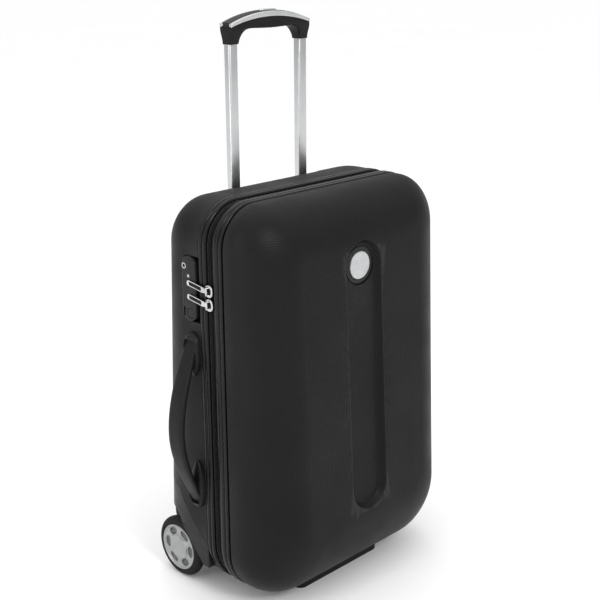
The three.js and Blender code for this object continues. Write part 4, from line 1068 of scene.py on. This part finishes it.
def make_camera():
    level = cos(CAMERA_PITCH)
    back = Vector((sin(CAMERA_YAW) * level, -cos(CAMERA_YAW) * level, sin(CAMERA_PITCH)))
    right = (-back).cross(Vector((0, 0, 1))).normalized()
    up = right.cross(-back)
    turned_right = cos(CAMERA_ROLL) * right + sin(CAMERA_ROLL) * up
    turned_up = -sin(CAMERA_ROLL) * right + cos(CAMERA_ROLL) * up
    data = bpy.data.cameras.new("camera")
    data.lens = CAMERA_LENS
    data.sensor_width = 36.0
    data.clip_start, data.clip_end = 0.05, 100.0
    camera = add("camera", data)
    rotation = Matrix((turned_right, turned_up, back)).transposed().to_4x4()
    camera.matrix_world = Matrix.Translation(ORIGIN + np.array(CAMERA_PLACE) * MM) @ rotation
    bpy.context.scene.camera = camera


def make_floor():
    half = 40.0
    mesh = bpy.data.meshes.new("floor")
    corners = [(-half, -half, 0), (half, -half, 0), (half, half, 0), (-half, half, 0)]
    mesh.from_pydata(corners, [], [(0, 1, 2, 3)])
    look = Look("floor_pale", specular=0.1)
    look.colour(look.noise(900), (0.0, 0.88), (1.0, 0.9))
    look.shader.inputs["Roughness"].default_value = 0.9
    mesh.materials.append(look.material)
    add("floor", mesh)


def softbox(name, place, size, power, target=(0.0, 0.05, 0.3)):
    data = bpy.data.lights.new(name, "AREA")
    data.shape = "RECTANGLE"
    data.size, data.size_y = size
    data.energy = power
    lamp = add(name, data)
    lamp.location = place
    lamp.rotation_euler = (Vector(target) - Vector(place)).to_track_quat("-Z", "Y").to_euler()


def make_light():
    world = bpy.data.worlds.new("studio")
    bpy.context.scene.world = world
    world.use_nodes = True
    background = world.node_tree.nodes["Background"]
    background.inputs["Strength"].default_value = 1.55
    nodes, links = world.node_tree.nodes, world.node_tree.links
    height = nodes.new("ShaderNodeSeparateXYZ")
    links.new(nodes.new("ShaderNodeTexCoord").outputs["Generated"], height.inputs[0])
    ramp = nodes.new("ShaderNodeValToRGB")
    fill_ramp(ramp, [(0.0, 0.65), (0.045, 0.65), (0.07, 0.23), (1.0, 1.0)])
    links.new(height.outputs[2], ramp.inputs[0])
    links.new(ramp.outputs[0], background.inputs["Color"])
    softbox("key", (-0.5, -2.2, 1.9), (0.55, 0.55), 24)
    softbox("left_strip", (-2.4, 0.1, 1.0), (0.5, 2.0), 14)
    softbox("top", (0.4, 0.6, 3.0), (2.0, 2.0), 10)
    bpy.context.scene.view_settings.view_transform = "Standard"


# ---------------- the whole case

dress_cad_nodes()
make_front_half()
make_zip_rows()
make_rear_shell()
for wheel_name, wheel_side in (("right", 1), ("left", -1)):
    make_wheel(wheel_name, wheel_side)
make_trolley()
make_grip()
make_lock()
for slider_name in SLIDER_Z:
    make_slider(slider_name)
make_carry_handle()
make_lining("lining_lid", "lid_lining", "front_lid", (69, 511), LID_WIDTHS,
            lambda z: front_face(z) + 16, 1.2)
make_lining("lining_rear", "rear_lining", "rear_case", (35, 511), REAR_WIDTHS,
            lambda z: 85.0, -0.8)
for strap_name in ("upper", "lower"):
    make_strap(strap_name)
make_gusset()
make_camera()
make_floor()
make_light()
